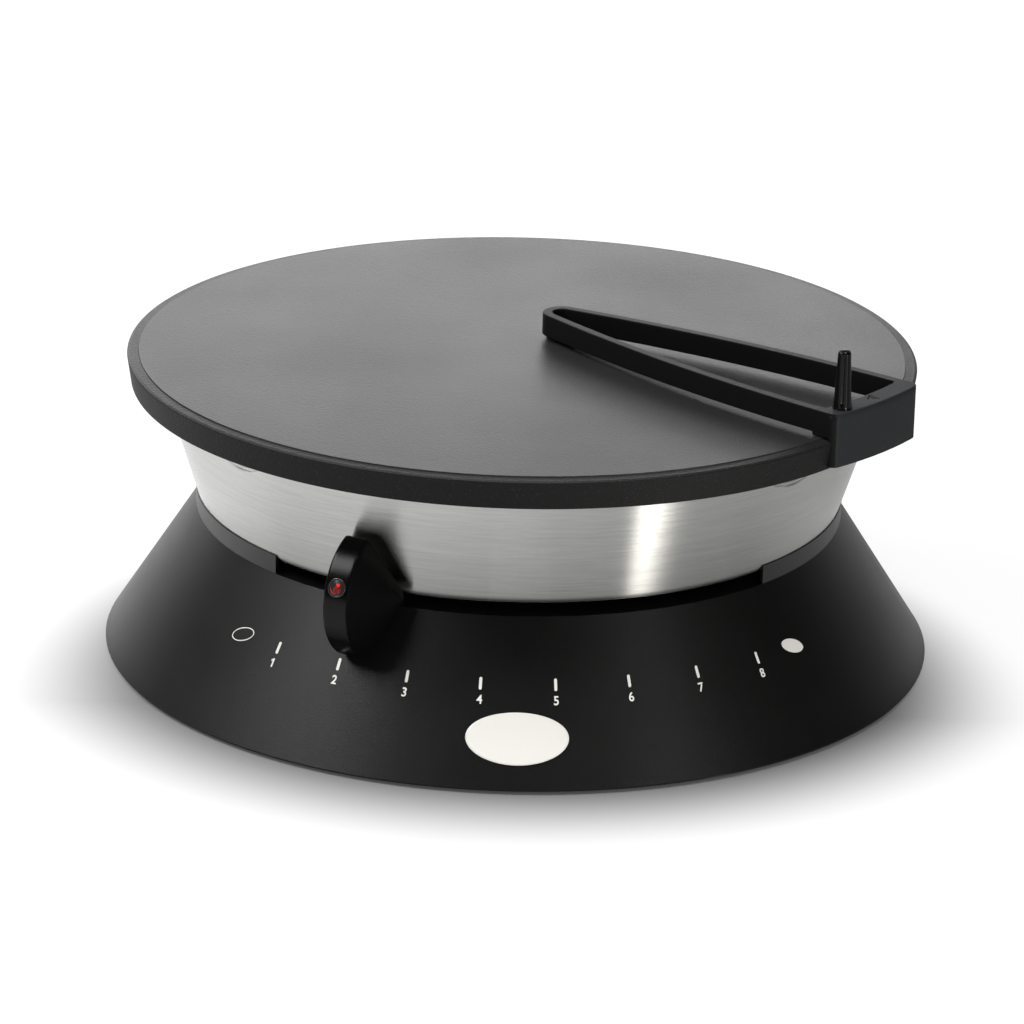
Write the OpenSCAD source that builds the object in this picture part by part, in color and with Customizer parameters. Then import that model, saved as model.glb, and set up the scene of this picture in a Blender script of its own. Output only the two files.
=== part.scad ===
// Electric crepe maker: a cast griddle plate on a steel band and a flared base,
// a heat lever that sweeps a slot in the base, and a batter spreader that runs round the plate.
// Millimetres, +Z up, origin on the table below the plate's centre, front towards -Y.
// An azimuth is counted from the front, positive towards +X.

/* [Base] */
// Radius of the base at its bottom rim
base_r = 185; // [182:1:225]
// Radius of the base at its shoulder
shoulder_r = 144.5; // [140:0.5:150]
// Height of the bottom rim above the table
rim_z = 1.5; // [1:0.5:3]
// Height of the base from its rim to its shoulder
flare_h = 63; // [52:1:80]
// Wall of the base
base_wall = 3; // [2:0.5:4]
// Height of the collar above the shoulder
collar_h = 8.2; // [6:0.2:10]
// Wall of the collar
collar_wall = 1.6; // [1.2:0.2:2.4]
// Half angle of the lever slot in the collar
slot_half_angle = 46.5; // [30:0.5:50]
// Radius of the opening in the deck
deck_hole_r = 104; // [90:1:106]

/* [Steel band] */
// Radius of the band at its rolled bottom edge
band_foot_r = 139; // [134:0.5:140]
// Radius of the roll at the band's bottom
band_roll = 5; // [3:0.5:6]
// Outward slope of the band, sideways travel per unit of height
band_slope = 0.32; // [0.2:0.01:0.34]
// Height of the band
band_h = 53; // [40:1:64]
// Sheet thickness of the band
band_t = 0.8; // [0.6:0.1:1.2]
// Gap between the shoulder and the band's bottom edge
slot_h = 4.6; // [4.2:0.1:6]

/* [Griddle] */
// Diameter of the griddle plate
plate_d = 350; // [340:1:400]
// Height of the plate's edge
plate_edge_h = 13.4; // [11:0.2:18]
// Thickness of the plate behind its edge
plate_t = 8.9; // [6:0.1:10]
// Width of the outer ring round the cooking disc
ring_w = 5.2; // [3:0.2:7]
// Step from the cooking disc down to the ring
ring_step = 0.35; // [0.2:0.05:0.8]
// Fall of the ring from the step to the plate's edge
ring_fall = 0.35; // [0:0.05:1]

/* [Spreader] */
// Half width of the spreader at its rim block
spreader_half_w = 29.5; // [24:0.5:34]
// Thickness of the spreader's arms
arm_t = 4.4; // [3:0.2:6]
// Height of the spreader's frame
frame_h = 10; // [8:0.5:14]
// Gap left under the arms for the batter
batter_gap = 1.8; // [1.6:0.2:3]
// Height of the finger peg above the block
peg_h = 26; // [18:1:32]
// Azimuth that the spreader lies at
spreader_turn = 49.4; // [0:0.1:90]
// Sideways slip of the loosely laid spreader from its centred place
spreader_slip = 25.2; // [0:0.2:26]

/* [Lever] */
// Azimuth that the lever points to
lever_turn = -26; // [-40:1:40]
// Radius of the lever's knob
knob_r = 28; // [24:0.5:30]
// Width of the knob's rounded face
knob_face_w = 11; // [9:0.5:14]
// Width of the knob at its middle
knob_root_w = 37; // [30:1:40]
// Width of the steel arm
arm_w = 12; // [8:1:14]
// Radius of the thermostat spindle
spindle_r = 3; // [2.5:0.1:4]

/* [Heater] */
// Radius of the heating tube
tube_r = 3.3; // [3:0.1:4]
// Radius of the inner turn
inner_turn_r = 85; // [80:1:88]
// Radius of the outer turn
outer_turn_r = 140; // [136:1:146]

/* [Cord inlet] */
// Radius of the cord hole in the gland
cord_hole_r = 3.7; // [3:0.1:4.5]

/* [Hidden] */
$fn = 96;

fit = 0.05;                // clearance of a fixed piece in its seat
slack = 0.3;               // clearance between a moving piece and what it passes
eps = 0.01;                // overrun of a cut past its face

shoulder_z = rim_z + flare_h;
rim_edge = 0.7;            // height of the upright lip round the base's foot
flare = (base_r - shoulder_r) / (flare_h - rim_edge);
flare_angle = atan(flare);
collar_z = shoulder_z + collar_h;
deck_t = 3;
deck_z = shoulder_z - deck_t;
function skin_r(z) = base_r - flare * (z - rim_z - rim_edge);
function inner_r(z) = skin_r(z) - base_wall / cos(flare_angle);

cover_t = 2;
cover_z = rim_z + 2;
cover_top = cover_z + cover_t;
cover_r = inner_r(cover_top) - 1;
post_r = 5;
post_ring_r = base_r - 24;
cover_screw_angles = [30, 90, 150, 210, 270, 330];
foot_angles = [45, 135, 225, 315];
foot_ring_r = base_r - 20;
foot_r = 8;
foot_neck_r = 4;

band_z = shoulder_z + slot_h;
band_top = band_z + band_h;
band_wall_z = band_z + band_roll;
band_wall_r = band_foot_r + band_roll;
flange_inner_r = band_foot_r - 12;
band_boss_ring_r = band_foot_r - 6.5;
band_boss_angles = [78, 130, 180, 230, 282];
ledge_angles = [-50, 47.5, 180];
ledge_h = 7.4;
ledge_r = 96;
ledge_lean = 9;

plate_r = plate_d / 2;
plate_z = band_top + 0.7;
plate_top = plate_z + plate_edge_h;
plate_under = plate_top - plate_t;
plate_taper = 1.8;
plate_skirt = 7;
disc_r = plate_r - ring_w;

pillar_ring_r = (inner_turn_r + outer_turn_r) / 2;
pillar_angles = [60, 180, 300];
pillar_r = 6;
pillar_neck_r = 4;
boss_r = 9;
boss_z = plate_z + 1;
m5_r = 2.5;
clamp_angles = [120, 240, 15];
clamp_t = 1.5;
element_z = plate_under - tube_r - fit;
clamp_top = element_z - tube_r - fit;

reflector_t = 0.8;
pad_t = 5;
pad_r = outer_turn_r + 8;
reflector_r = pad_r + 3;
reflector_z = clamp_top - clamp_t - 4.5 - pad_t - reflector_t;
pad_z = reflector_z + reflector_t;
end_bend = 9;
end_drop = reflector_z - 10;
turn_azimuth = 0;
turn_sweep = 335;
end_azimuth = turn_azimuth + turn_sweep;

lever_t = 2;
arm_z = shoulder_z + 1.3;
arm_top = arm_z + lever_t;
hub_r = 9;
hub_z = arm_z - 3;
hub_top = arm_top + 0.4;
neck_r = 5;
bracket_t = 1.5;
nut_h = 2.5;
neck_z = hub_top + slack;
bracket_z = neck_z + nut_h + 0.4;
bracket_top = bracket_z + bracket_t;
bracket_w = 42;
bracket_foot_x = 112;
bracket_knee_x = 102;
thermostat_size = [46, 38, 20];
thermostat_top = bracket_top + thermostat_size[2];
spindle_z = hub_z - 1.5;
spindle_top = bracket_top + 12;
spindle_bore = spindle_r + 0.06;

bulb_r = 3;
bulb_l = 66;
bulb_y = 12;
bulb_x = -36;
bulb_z = plate_under - bulb_r - fit;
capillary_r = 0.9;
capillary_bend = 7;
capillary_x = bulb_x + bulb_l + capillary_bend;
capillary_z = thermostat_top - 6;

cutout_at = [-60, 40];

knob_c = [shoulder_r + 4.5, arm_z + lever_t / 2 + 3.7];
knob_gap_r = shoulder_r + 3.1;
knob_back_z = [arm_z + 2.3, arm_z + 6.3];
knob_back_slope = [0.15 - flare, 0.35];
knob_reach = knob_r * 1.6;
pocket_r = knob_c[0] + 11;
lamp_tilt = 21;
lens_r = 3.3;
bezel_r = 4.1;
lens_depth = 3;
neon_r = 2.3;
neon_l = 9;
lamp_lead_r = 0.45;
knob_screw_r = knob_c[0] + 6;

frame_bottom = plate_top + batter_gap;
frame_top = frame_bottom + frame_h;
block_r = plate_r + 5.4;
block_inner_r = block_r - 11.1;
skirt_r = plate_r + 3.4;
skirt_bottom = plate_z + 1.2;
bow_end = block_r - 3.4;
apex_u = 2;
apex_r = arm_t + 4.7;
// Radius of the bow that runs from the block's side, square to it, round into the apex arc.
arm_bow_r = (pow(bow_end - apex_u, 2) + pow(spreader_half_w, 2) - pow(apex_r, 2)) / 2 / (spreader_half_w - apex_r);
bow_c = arm_bow_r - spreader_half_w;
apex_angle = atan2(bow_c, apex_u - bow_end);
block_corner = 5;
pad_gap = slack;
pad_u = block_inner_r - 5;
foot_inset = 1.7;
foot_end_u = 14;
peg_u = block_r - 7.9;
peg_v = 10 - spreader_half_w;
peg_base_r = 3.9;
peg_tip_r = 2.8;
peg_spigot_r = 2.5;
peg_spigot_l = 6;

badge_w = 43.6;
badge_h = 23;
badge_t = 0.7;
badge_z = rim_z + 18.9;

gland_azimuth = 180;
gland_z = rim_z + 24;
gland_r = 7;
gland_head_r = 9.5;
gland_wall_r = skin_r(gland_z);
gland_seat = -flare * (gland_head_r + 1.5) - base_wall / cos(flare_angle) - 2.27;
gland_face = flare * gland_head_r + 0.82;
block_azimuth = 135;
block_ring_r = deck_hole_r + 11;
block_screw_r = block_ring_r + 4;
block_size = [18, 34, 14];

// ---- shared shapes ----

// Turns its children so that their X axis points outwards at an azimuth.
module turned(azimuth) {
    rotate([0, 0, azimuth - 90]) children();
}

// Repeats its children on a ring, with X pointing outwards.
module ring(angles, r) {
    for (a = angles) turned(a) translate([r, 0, 0]) children();
}

// A tube between two heights.
module sleeve(r_out, r_in, z0, z1) {
    translate([0, 0, z0]) difference() {
        cylinder(r = r_out, h = z1 - z0);
        translate([0, 0, -eps]) cylinder(r = r_in, h = z1 - z0 + 2 * eps);
    }
}

// A disc or rod between two heights.
module rod(r, z0, z1) {
    translate([0, 0, z0]) cylinder(r = r, h = z1 - z0);
}

// A pan head screw: its head sits on z0 and its shank runs down by l, or the other way up when dir is -1.
module screw(z0, shank_r, l, head_r, head_h, dir = 1) {
    translate([0, 0, z0]) mirror([0, 0, dir > 0 ? 0 : 1]) {
        difference() {
            cylinder(r = head_r, h = head_h);
            for (a = [0, 90]) rotate([0, 0, a])
                translate([-head_r * 0.55, -0.45, head_h * 0.5]) cube([head_r * 1.1, 0.9, head_h]);
        }
        translate([0, 0, -l]) cylinder(r = shank_r, h = l + eps);
    }
}

// Points of an arc about c, from angle a0 to a1 in n steps, leaving out those before step first.
function arc(c, r, a0, a1, n, first = 0) =
    [for (i = [first:n]) let (a = a0 + (a1 - a0) * i / n) c + r * [cos(a), sin(a)]];

// A round wire along the points p: rings of eight points joined by triangles.
function unit(v) = v / norm(v);
function tangent(p, i) = unit(p[min(i + 1, len(p) - 1)] - p[max(i - 1, 0)]);
function side(t) = unit(cross(t, abs(t[2]) < 0.9 ? [0, 0, 1] : [1, 0, 0]));
function smooth(a, b, c, d, f) =
    0.5 * (2 * b + (c - a) * f + (2 * a - 5 * b + 4 * c - d) * f * f
        + (3 * b - a - 3 * c + d) * f * f * f);
function route(p, n) = let (k = len(p) - 1)
    concat([for (i = [0:k - 1], j = [0:n - 1])
        smooth(p[max(i - 1, 0)], p[i], p[i + 1], p[min(i + 2, k)], j / n)], [p[k]]);
module wire(p, r) {
    sides = 8;
    count = len(p);
    rings = [for (i = [0:count - 1], j = [0:sides - 1])
        let (t = tangent(p, i), u = side(t), w = cross(t, u), a = 360 * j / sides)
        p[i] + r * (u * cos(a) + w * sin(a))];
    walls = [for (i = [0:count - 2], j = [0:sides - 1])
        let (a = i * sides + j, b = i * sides + (j + 1) % sides)
        [a, a + sides, b + sides, b]];
    ends = [[for (j = [0:sides - 1]) j], [for (j = [sides - 1:-1:0]) (count - 1) * sides + j]];
    polyhedron(points = rings, faces = concat(walls, ends), convexity = 4);
}

// ---- base ----

module base_profile() {
    polygon([
        [inner_r(rim_z), rim_z], [base_r - 0.1, rim_z], [base_r, rim_z + rim_edge],
        [shoulder_r, shoulder_z], [deck_hole_r, shoulder_z], [deck_hole_r, deck_z - 2],
        [deck_hole_r + 2.5, deck_z - 2], [deck_hole_r + 2.5, deck_z], [inner_r(deck_z), deck_z]
    ]);
}

// Everything under the base's outer skin, to trim the posts with.
module skin_core() {
    rotate_extrude()
        polygon([[0, rim_z], [base_r - 1, rim_z], [shoulder_r - 1, shoulder_z], [0, shoulder_z]]);
}

// Puts its children on the cord inlet's axis, outwards, from where it meets the base's skin.
module gland_axis() {
    turned(gland_azimuth) translate([gland_wall_r, 0, gland_z]) rotate([0, 90, 0]) children();
}

// The collar round the band's foot, open at the front for the lever.
module collar() {
    difference() {
        turned(slot_half_angle) rotate_extrude(angle = 360 - 2 * slot_half_angle)
            translate([shoulder_r - collar_wall - 0.1, shoulder_z - 1]) square([collar_wall, collar_h + 1]);
        rotate_extrude() translate([band_foot_r, band_z + band_roll]) circle(r = band_roll + fit);
    }
}

module base_shell() {
    foot_post_z = cover_top + 4;
    color([0.11, 0.11, 0.11]) difference() {
        union() {
            rotate_extrude($fn = 180) base_profile();
            collar();
            intersection() {
                skin_core();
                union() {
                    ring(cover_screw_angles, post_ring_r) rod(post_r, cover_top, shoulder_z);
                    ring(foot_angles, foot_ring_r) rod(foot_r + 1.5, rim_z + 1, shoulder_z);
                }
            }
            ring(band_boss_angles, band_boss_ring_r) rod(post_r - 0.5, deck_z, band_z);
            gland_axis() translate([0, 0, gland_seat])
                cylinder(r = gland_head_r + 2, h = gland_face - gland_seat);
        }
        ring(cover_screw_angles, post_ring_r) rod(1.5, cover_top - eps, cover_top + 14);
        ring(foot_angles, foot_ring_r) {
            rod(foot_r + fit, 0, rim_z + 1 + 1.5);
            rod(foot_neck_r + fit, 0, foot_post_z + 6);
        }
        ring(band_boss_angles, band_boss_ring_r) rod(1.5, deck_z + 1, band_z + eps);
        ring(pillar_angles, pillar_ring_r) rod(m5_r + fit, deck_z - eps, shoulder_z + eps);
        for (x = [-bracket_foot_x, bracket_foot_x], y = [-12, 12])
            translate([x, y, 0]) rod(1.5, deck_z - eps, shoulder_z + eps);
        translate([bracket_foot_x, 0, 0]) rod(1.5, deck_z - eps, shoulder_z + eps);
        turned(block_azimuth) for (y = [-5.5, 5.5])
            translate([block_screw_r, y, 0]) rod(1.5, deck_z - eps, shoulder_z + eps);
        gland_axis() translate([0, 0, gland_seat - eps])
            cylinder(r = gland_r + fit, h = gland_face - gland_seat + 2 * eps);
    }
}

module bottom_cover() {
    color([0.2, 0.2, 0.2]) difference() {
        union() {
            rod(cover_r, cover_z, cover_top);
            sleeve(cover_r - 30, cover_r - 32, cover_top - eps, cover_top + 5);
        }
        ring(cover_screw_angles, post_ring_r) rod(1.8, cover_z - eps, cover_top + eps);
        ring(cover_screw_angles, post_ring_r) rod(3.4, cover_z - eps, cover_z + 0.8);
        ring(foot_angles, foot_ring_r) rod(foot_r + 2, cover_z - eps, cover_top + eps);
        for (k = [0:11]) turned(30 * k + 15) for (r = [52, 66, 80])
            translate([r, -2, cover_z - eps]) cube([8, 4, cover_t + 2 * eps]);
    }
}

module rubber_feet() {
    color([0.08, 0.08, 0.08]) ring(foot_angles, foot_ring_r) {
        rod(foot_r - 1, 0, 0.6);
        rod(foot_r, 0.5, rim_z + 2.4);
        rod(foot_neck_r, rim_z + 2, cover_top + 8);
    }
}

module cover_screws() {
    color([0.7, 0.7, 0.72]) ring(cover_screw_angles, post_ring_r)
        screw(cover_z + 0.8 - fit, 1.45, 12, 3, 1.6, -1);
}

// Oval plate lying on the base's skin: a slice of the skin's cone inside an ellipse.
module badge_plate() {
    oval = [for (i = [0:47]) [badge_h / 2 * cos(7.5 * i), badge_w / 2 * sin(7.5 * i)]];
    lift = fit / cos(flare_angle);
    color([0.93, 0.92, 0.88]) intersection() {
        rotate_extrude($fn = 180) polygon([
            [skin_r(rim_z + 1) + lift, rim_z + 1], [skin_r(rim_z + 1) + lift + badge_t, rim_z + 1],
            [skin_r(rim_z + 40) + lift + badge_t, rim_z + 40], [skin_r(rim_z + 40) + lift, rim_z + 40]
        ]);
        turned(0) translate([skin_r(badge_z), 0, badge_z]) rotate([0, 90 - flare_angle, 0])
            translate([0, 0, -8]) linear_extrude(16) polygon(oval);
    }
}

// ---- steel band ----

// The band's outline: flange, rolled bottom and sloping wall, drawn at an inset from its outer face.
function band_line(inset) = concat(
    [[flange_inner_r, band_z + inset]],
    arc([band_foot_r, band_wall_z], band_roll - inset, -90, -atan(band_slope), 8),
    [[band_wall_r + band_slope * (band_h - band_roll) - inset, band_top]]
);

module band_skin(inner, outer) {
    a = band_line(outer);
    b = band_line(inner);
    rotate_extrude($fn = 180) polygon(concat(a, [for (i = [len(b) - 1:-1:0]) b[i]]));
}

// Ledges: scoops pressed into the band's top edge, round in plan and deepest at the top.
band_top_r = band_wall_r + band_slope * (band_h - band_roll);
module ledge_scoops(r) {
    for (a = ledge_angles) turned(a) translate([band_top_r - band_slope * ledge_h, 0, band_top - ledge_h])
        rotate([0, -ledge_lean, 0]) translate([ledge_r, 0, -2]) cylinder(r = r, h = 4 * ledge_h);
}

module steel_band() {
    color([0.75, 0.75, 0.74]) difference() {
        union() {
            band_skin(band_t, 0);
            intersection() {
                ledge_scoops(ledge_r + band_t);
                rotate_extrude($fn = 180) polygon([
                    [band_top_r - 6, band_top - 3 * ledge_h],
                    [band_top_r - 3 * ledge_h * band_slope - 0.1, band_top - 3 * ledge_h],
                    [band_top_r - 0.1, band_top], [band_top_r - 6, band_top]
                ]);
            }
        }
        ledge_scoops(ledge_r);
        ring(band_boss_angles, band_boss_ring_r) rod(1.8, band_z - eps, band_z + band_t + eps);
    }
}

module band_screws() {
    color([0.7, 0.7, 0.72]) ring(band_boss_angles, band_boss_ring_r)
        screw(band_z + band_t + fit, 1.45, 7, 3, 1.8);
}

// ---- griddle ----

module griddle_plate() {
    edge_round = 1;
    lip_z = plate_top - ring_step;
    color([0.28, 0.29, 0.28]) difference() {
        union() {
            rotate_extrude($fn = 180) polygon(concat(
                [[0, plate_under], [0, plate_top], [disc_r, plate_top], [disc_r + 0.3, lip_z]],
                arc([plate_r - edge_round, lip_z - ring_fall - edge_round], edge_round, 80, 0, 4),
                [[plate_r - plate_taper + 0.1, plate_z + 0.4], [plate_r - plate_taper - 0.3, plate_z],
                 [plate_r - plate_taper - plate_skirt, plate_z],
                 [plate_r - plate_taper - plate_skirt - 2, plate_under]]
            ));
            ring(pillar_angles, pillar_ring_r) rod(boss_r, boss_z, plate_under + eps);
            ring(clamp_angles, pillar_ring_r) rod(boss_r - 2, clamp_top, plate_under + eps);
            translate([bulb_x + bulb_l / 2, bulb_y - 10, 0]) rod(4, bulb_z - bulb_r, plate_under + eps);
        }
        ring(pillar_angles, pillar_ring_r) rod(m5_r + fit, boss_z - eps, plate_top - 4);
        ring(clamp_angles, pillar_ring_r) rod(2, clamp_top - eps, plate_top - 4);
        translate([bulb_x + bulb_l / 2, bulb_y - 10, 0]) rod(1.5, bulb_z - bulb_r - eps, plate_under + 2);
    }
}

module plate_pillars() {
    color([0.72, 0.72, 0.74]) ring(pillar_angles, pillar_ring_r) difference() {
        union() {
            rod(pillar_r, shoulder_z, reflector_z);
            rod(pillar_neck_r, reflector_z - eps, boss_z);
            rod(m5_r, boss_z - eps, boss_z + 7.6);
        }
        rod(m5_r + fit, shoulder_z - eps, shoulder_z + 13);
    }
}

module pillar_screws() {
    color([0.7, 0.7, 0.72]) ring(pillar_angles, pillar_ring_r) screw(deck_z - fit, m5_r, 14, 4.6, 3, -1);
}

// ---- heater ----

// A round tube along an arc about Z, from the X axis on.
module tube_arc(r, tube, angle) {
    rotate_extrude(angle = angle) translate([r, 0]) circle(r = tube, $fn = 32);
}

// Both turns, their U bend at the front and the two ends, drawn a little thinner, that drop down.
module heating_element() {
    end_r = tube_r - 0.05;
    drop_h = element_z - end_bend - end_drop;
    color([0.35, 0.33, 0.32]) {
        for (r = [inner_turn_r, outer_turn_r]) {
            turned(turn_azimuth) translate([0, 0, element_z]) tube_arc(r, tube_r, turn_sweep);
            turned(end_azimuth) {
                translate([r, 0, element_z - end_bend]) rotate([90, 0, 90]) tube_arc(end_bend, end_r, 93);
                translate([r, end_bend, end_drop]) cylinder(r = end_r, h = drop_h, $fn = 32);
                translate([r, end_bend, 0]) rod(1.2, end_drop - 8, end_drop + 1);
            }
        }
        turned(turn_azimuth) translate([pillar_ring_r, 0, element_z]) rotate([0, 0, 180])
            tube_arc((outer_turn_r - inner_turn_r) / 2, tube_r, 180);
    }
}

module element_clamps() {
    half = (outer_turn_r - inner_turn_r) / 2 + 7;
    color([0.66, 0.66, 0.68]) ring(clamp_angles, pillar_ring_r) difference() {
        translate([-half, -7, clamp_top - clamp_t]) cube([2 * half, 14, clamp_t]);
        rod(2.2, clamp_top - clamp_t - eps, clamp_top + eps);
    }
}

module clamp_screws() {
    color([0.7, 0.7, 0.72]) ring(clamp_angles, pillar_ring_r)
        screw(clamp_top - clamp_t - fit, 1.95, 10, 4, 2.6, -1);
}

// Holes that the pillars, the element's ends and the capillary pass through.
module passage_cuts(clear, z0, z1) {
    ring(pillar_angles, pillar_ring_r) rod(pillar_neck_r + clear, z0, z1);
    for (r = [inner_turn_r, outer_turn_r])
        turned(end_azimuth) translate([r, end_bend, 0]) rod(tube_r + 1.5, z0, z1);
    translate([capillary_x, bulb_y, 0]) rod(capillary_r + 2, z0, z1);
}

module insulation_pad() {
    color([0.9, 0.88, 0.82]) difference() {
        rod(pad_r, pad_z + fit, pad_z + pad_t);
        passage_cuts(1.5, pad_z - eps, pad_z + pad_t + eps);
        for (y = [-10, 10])
            translate([cutout_at[0], cutout_at[1] + y, 0]) rod(1.7, pad_z - eps, pad_z + pad_t + eps);
    }
}

module heat_reflector() {
    color([0.8, 0.8, 0.8]) difference() {
        union() {
            rod(reflector_r, reflector_z, reflector_z + reflector_t);
            sleeve(reflector_r, reflector_r - reflector_t, reflector_z, pad_z + pad_t);
        }
        passage_cuts(0.2, reflector_z - eps, reflector_z + reflector_t + eps);
        for (y = [-10, 10]) translate([cutout_at[0], cutout_at[1] + y, 0])
            rod(1.3, reflector_z - eps, reflector_z + reflector_t + eps);
    }
}

// ---- thermostat ----

module thermostat_bracket() {
    color([0.68, 0.69, 0.7]) difference() {
        union() {
            translate([-bracket_knee_x, -bracket_w / 2, bracket_z])
                cube([2 * bracket_knee_x, bracket_w, bracket_t]);
            for (m = [0, 1]) mirror([m, 0, 0]) {
                translate([bracket_knee_x - bracket_t, -bracket_w / 2, shoulder_z])
                    cube([bracket_t, bracket_w, bracket_top - shoulder_z]);
                translate([bracket_knee_x - bracket_t, -bracket_w / 2, shoulder_z])
                    cube([bracket_foot_x - bracket_knee_x + 8, bracket_w, bracket_t]);
            }
        }
        rod(neck_r + fit, bracket_z - eps, bracket_top + eps);
        translate([bracket_foot_x, 0, 0]) rod(1.8, shoulder_z - eps, shoulder_z + bracket_t + eps);
        for (x = [-bracket_foot_x, bracket_foot_x], y = [-12, 12])
            translate([x, y, 0]) rod(1.8, shoulder_z - eps, shoulder_z + bracket_t + eps);
    }
}

module bracket_screws() {
    color([0.7, 0.7, 0.72]) for (x = [-bracket_foot_x, bracket_foot_x], y = [-12, 12])
        translate([x, y, 0]) screw(shoulder_z + bracket_t + fit, 1.45, 8, 3, 1.8);
}

module thermostat_body() {
    s = thermostat_size;
    color([0.85, 0.83, 0.78]) difference() {
        union() {
            translate([-s[0] / 2, -s[1] / 2, bracket_top]) cube(s);
            rod(neck_r, neck_z, bracket_top + eps);
        }
        rod(spindle_bore, neck_z - eps, spindle_top + 0.5);
        for (x = [-12, 12]) translate([x - 3.1, -0.5 - s[1] / 4, thermostat_top - 6]) cube([6.2, 1, 7]);
    }
}

module thermostat_nut() {
    color([0.7, 0.7, 0.72]) difference() {
        translate([0, 0, bracket_z - nut_h]) cylinder(r = 8, h = nut_h - fit, $fn = 6);
        rod(neck_r + fit, bracket_z - nut_h - eps, bracket_z);
    }
}

module thermostat_tabs() {
    color([0.8, 0.65, 0.35]) for (x = [-12, 12])
        translate([x - 3, -0.4 - thermostat_size[1] / 4, thermostat_top - 5.9]) cube([6, 0.8, 13]);
}

module sensor_bulb() {
    low_z = capillary_z + capillary_bend;
    high_z = bulb_z - capillary_bend;
    end_x = bulb_x + bulb_l;
    inlet_x = thermostat_size[0] / 2 + fit;
    color([0.75, 0.5, 0.38]) translate([0, bulb_y, 0]) {
        translate([bulb_x, 0, bulb_z]) rotate([0, 90, 0]) cylinder(r = bulb_r, h = bulb_l);
        translate([end_x, 0, high_z]) rotate([90, 0, 0]) tube_arc(capillary_bend, capillary_r, 90);
        translate([capillary_x, 0, low_z]) cylinder(r = capillary_r, h = high_z - low_z, $fn = 32);
        translate([end_x, 0, low_z]) rotate([-90, 0, 0]) tube_arc(capillary_bend, capillary_r, 90);
        translate([inlet_x, 0, capillary_z]) rotate([0, 90, 0])
            cylinder(r = capillary_r, h = end_x - inlet_x, $fn = 32);
    }
}

module bulb_clip() {
    x = bulb_x + bulb_l / 2;
    seat = bulb_z - bulb_r - fit;
    color([0.68, 0.69, 0.7]) difference() {
        union() {
            translate([x - 5, bulb_y - 15, seat - 1]) cube([10, 19, 1]);
            translate([x - 5, bulb_y + bulb_r + 0.4, seat - 1]) cube([10, 1, bulb_r * 2 - 1]);
        }
        translate([x, bulb_y - 10, 0]) rod(1.6, seat - 1 - eps, seat + eps);
    }
}

module clip_screw() {
    color([0.7, 0.7, 0.72]) translate([bulb_x + bulb_l / 2, bulb_y - 10, 0])
        screw(bulb_z - bulb_r - fit - 1 - fit, 1.45, 7, 2.8, 1.8, -1);
}

module thermal_cutout() {
    color([0.8, 0.78, 0.72]) translate([cutout_at[0], cutout_at[1], 0]) difference() {
        union() {
            rod(7.5, reflector_z - 9, reflector_z - fit);
            translate([-4, -14, reflector_z - 1.2]) cube([8, 28, 1.2 - fit]);
            for (x = [-3.5, 3.5]) translate([x - 0.4, -3, reflector_z - 16]) cube([0.8, 6, 7 + eps]);
        }
        for (y = [-10, 10]) translate([0, y, 0]) rod(1.3, reflector_z - 1.2 - eps, reflector_z);
    }
}

module cutout_screws() {
    color([0.7, 0.7, 0.72]) for (y = [-10, 10]) translate([cutout_at[0], cutout_at[1] + y, 0])
        screw(reflector_z - 1.2 - fit, 1.25, 5.5, 2.2, 1.5, -1);
}

// ---- wiring ----

module terminal_block() {
    s = block_size;
    color([0.9, 0.9, 0.86]) turned(block_azimuth)
        translate([block_ring_r - s[0] / 2, 0, shoulder_z]) difference() {
        translate([0, -s[1] / 2, 0]) cube(s);
        for (y = [-11, 0, 11]) translate([-eps, y, s[2] / 2 + 1]) rotate([0, 90, 0]) cylinder(r = 2.2, h = 5);
        for (y = [-11, 0, 11]) translate([s[0] / 3, y, s[2] - 4]) cylinder(r = 2.2, h = 5);
        for (y = [-5.5, 5.5]) translate([block_screw_r - block_ring_r + s[0] / 2, y, -eps])
            cylinder(r = 1.6, h = s[2] + 1);
    }
}

module block_screws() {
    color([0.7, 0.7, 0.72]) turned(block_azimuth) for (y = [-5.5, 5.5]) translate([block_screw_r, y, 0])
        screw(shoulder_z + block_size[2] + fit, 1.45, block_size[2] + 6, 2.6, 1.8);
}

module terminal_screws() {
    color([0.75, 0.75, 0.75]) turned(block_azimuth) for (y = [-11, 0, 11])
        translate([block_ring_r - block_size[0] / 6, y, shoulder_z + block_size[2] - 4 + fit]) {
            difference() {
                cylinder(r = 2.1, h = 3);
                translate([-2, -0.35, 2]) cube([4, 0.7, 2]);
            }
        }
}

// A point given by azimuth, radius and height.
function polar(azimuth, r, z) = [r * sin(azimuth), -r * cos(azimuth), z];
cutout_z = reflector_z - 14;
function cutout_tab(m) = [cutout_at[0] + m * 5.2, cutout_at[1] - 1, cutout_z];

lead_r = 1.3;
lead_z = shoulder_z + block_size[2] / 2 + 1;
pin_z = end_drop - 5;
tab_y = -thermostat_size[1] / 4;
function in_frame(azimuth, r, y, z) = [
    r * sin(azimuth) + y * cos(azimuth), -r * cos(azimuth) + y * sin(azimuth), z
];
function block_hole(y, r = 0) = in_frame(block_azimuth, block_ring_r - block_size[0] / 2 + 2 - r, y, lead_z);
function end_pin(r, back) = in_frame(end_azimuth, r, end_bend + back, pin_z);

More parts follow.
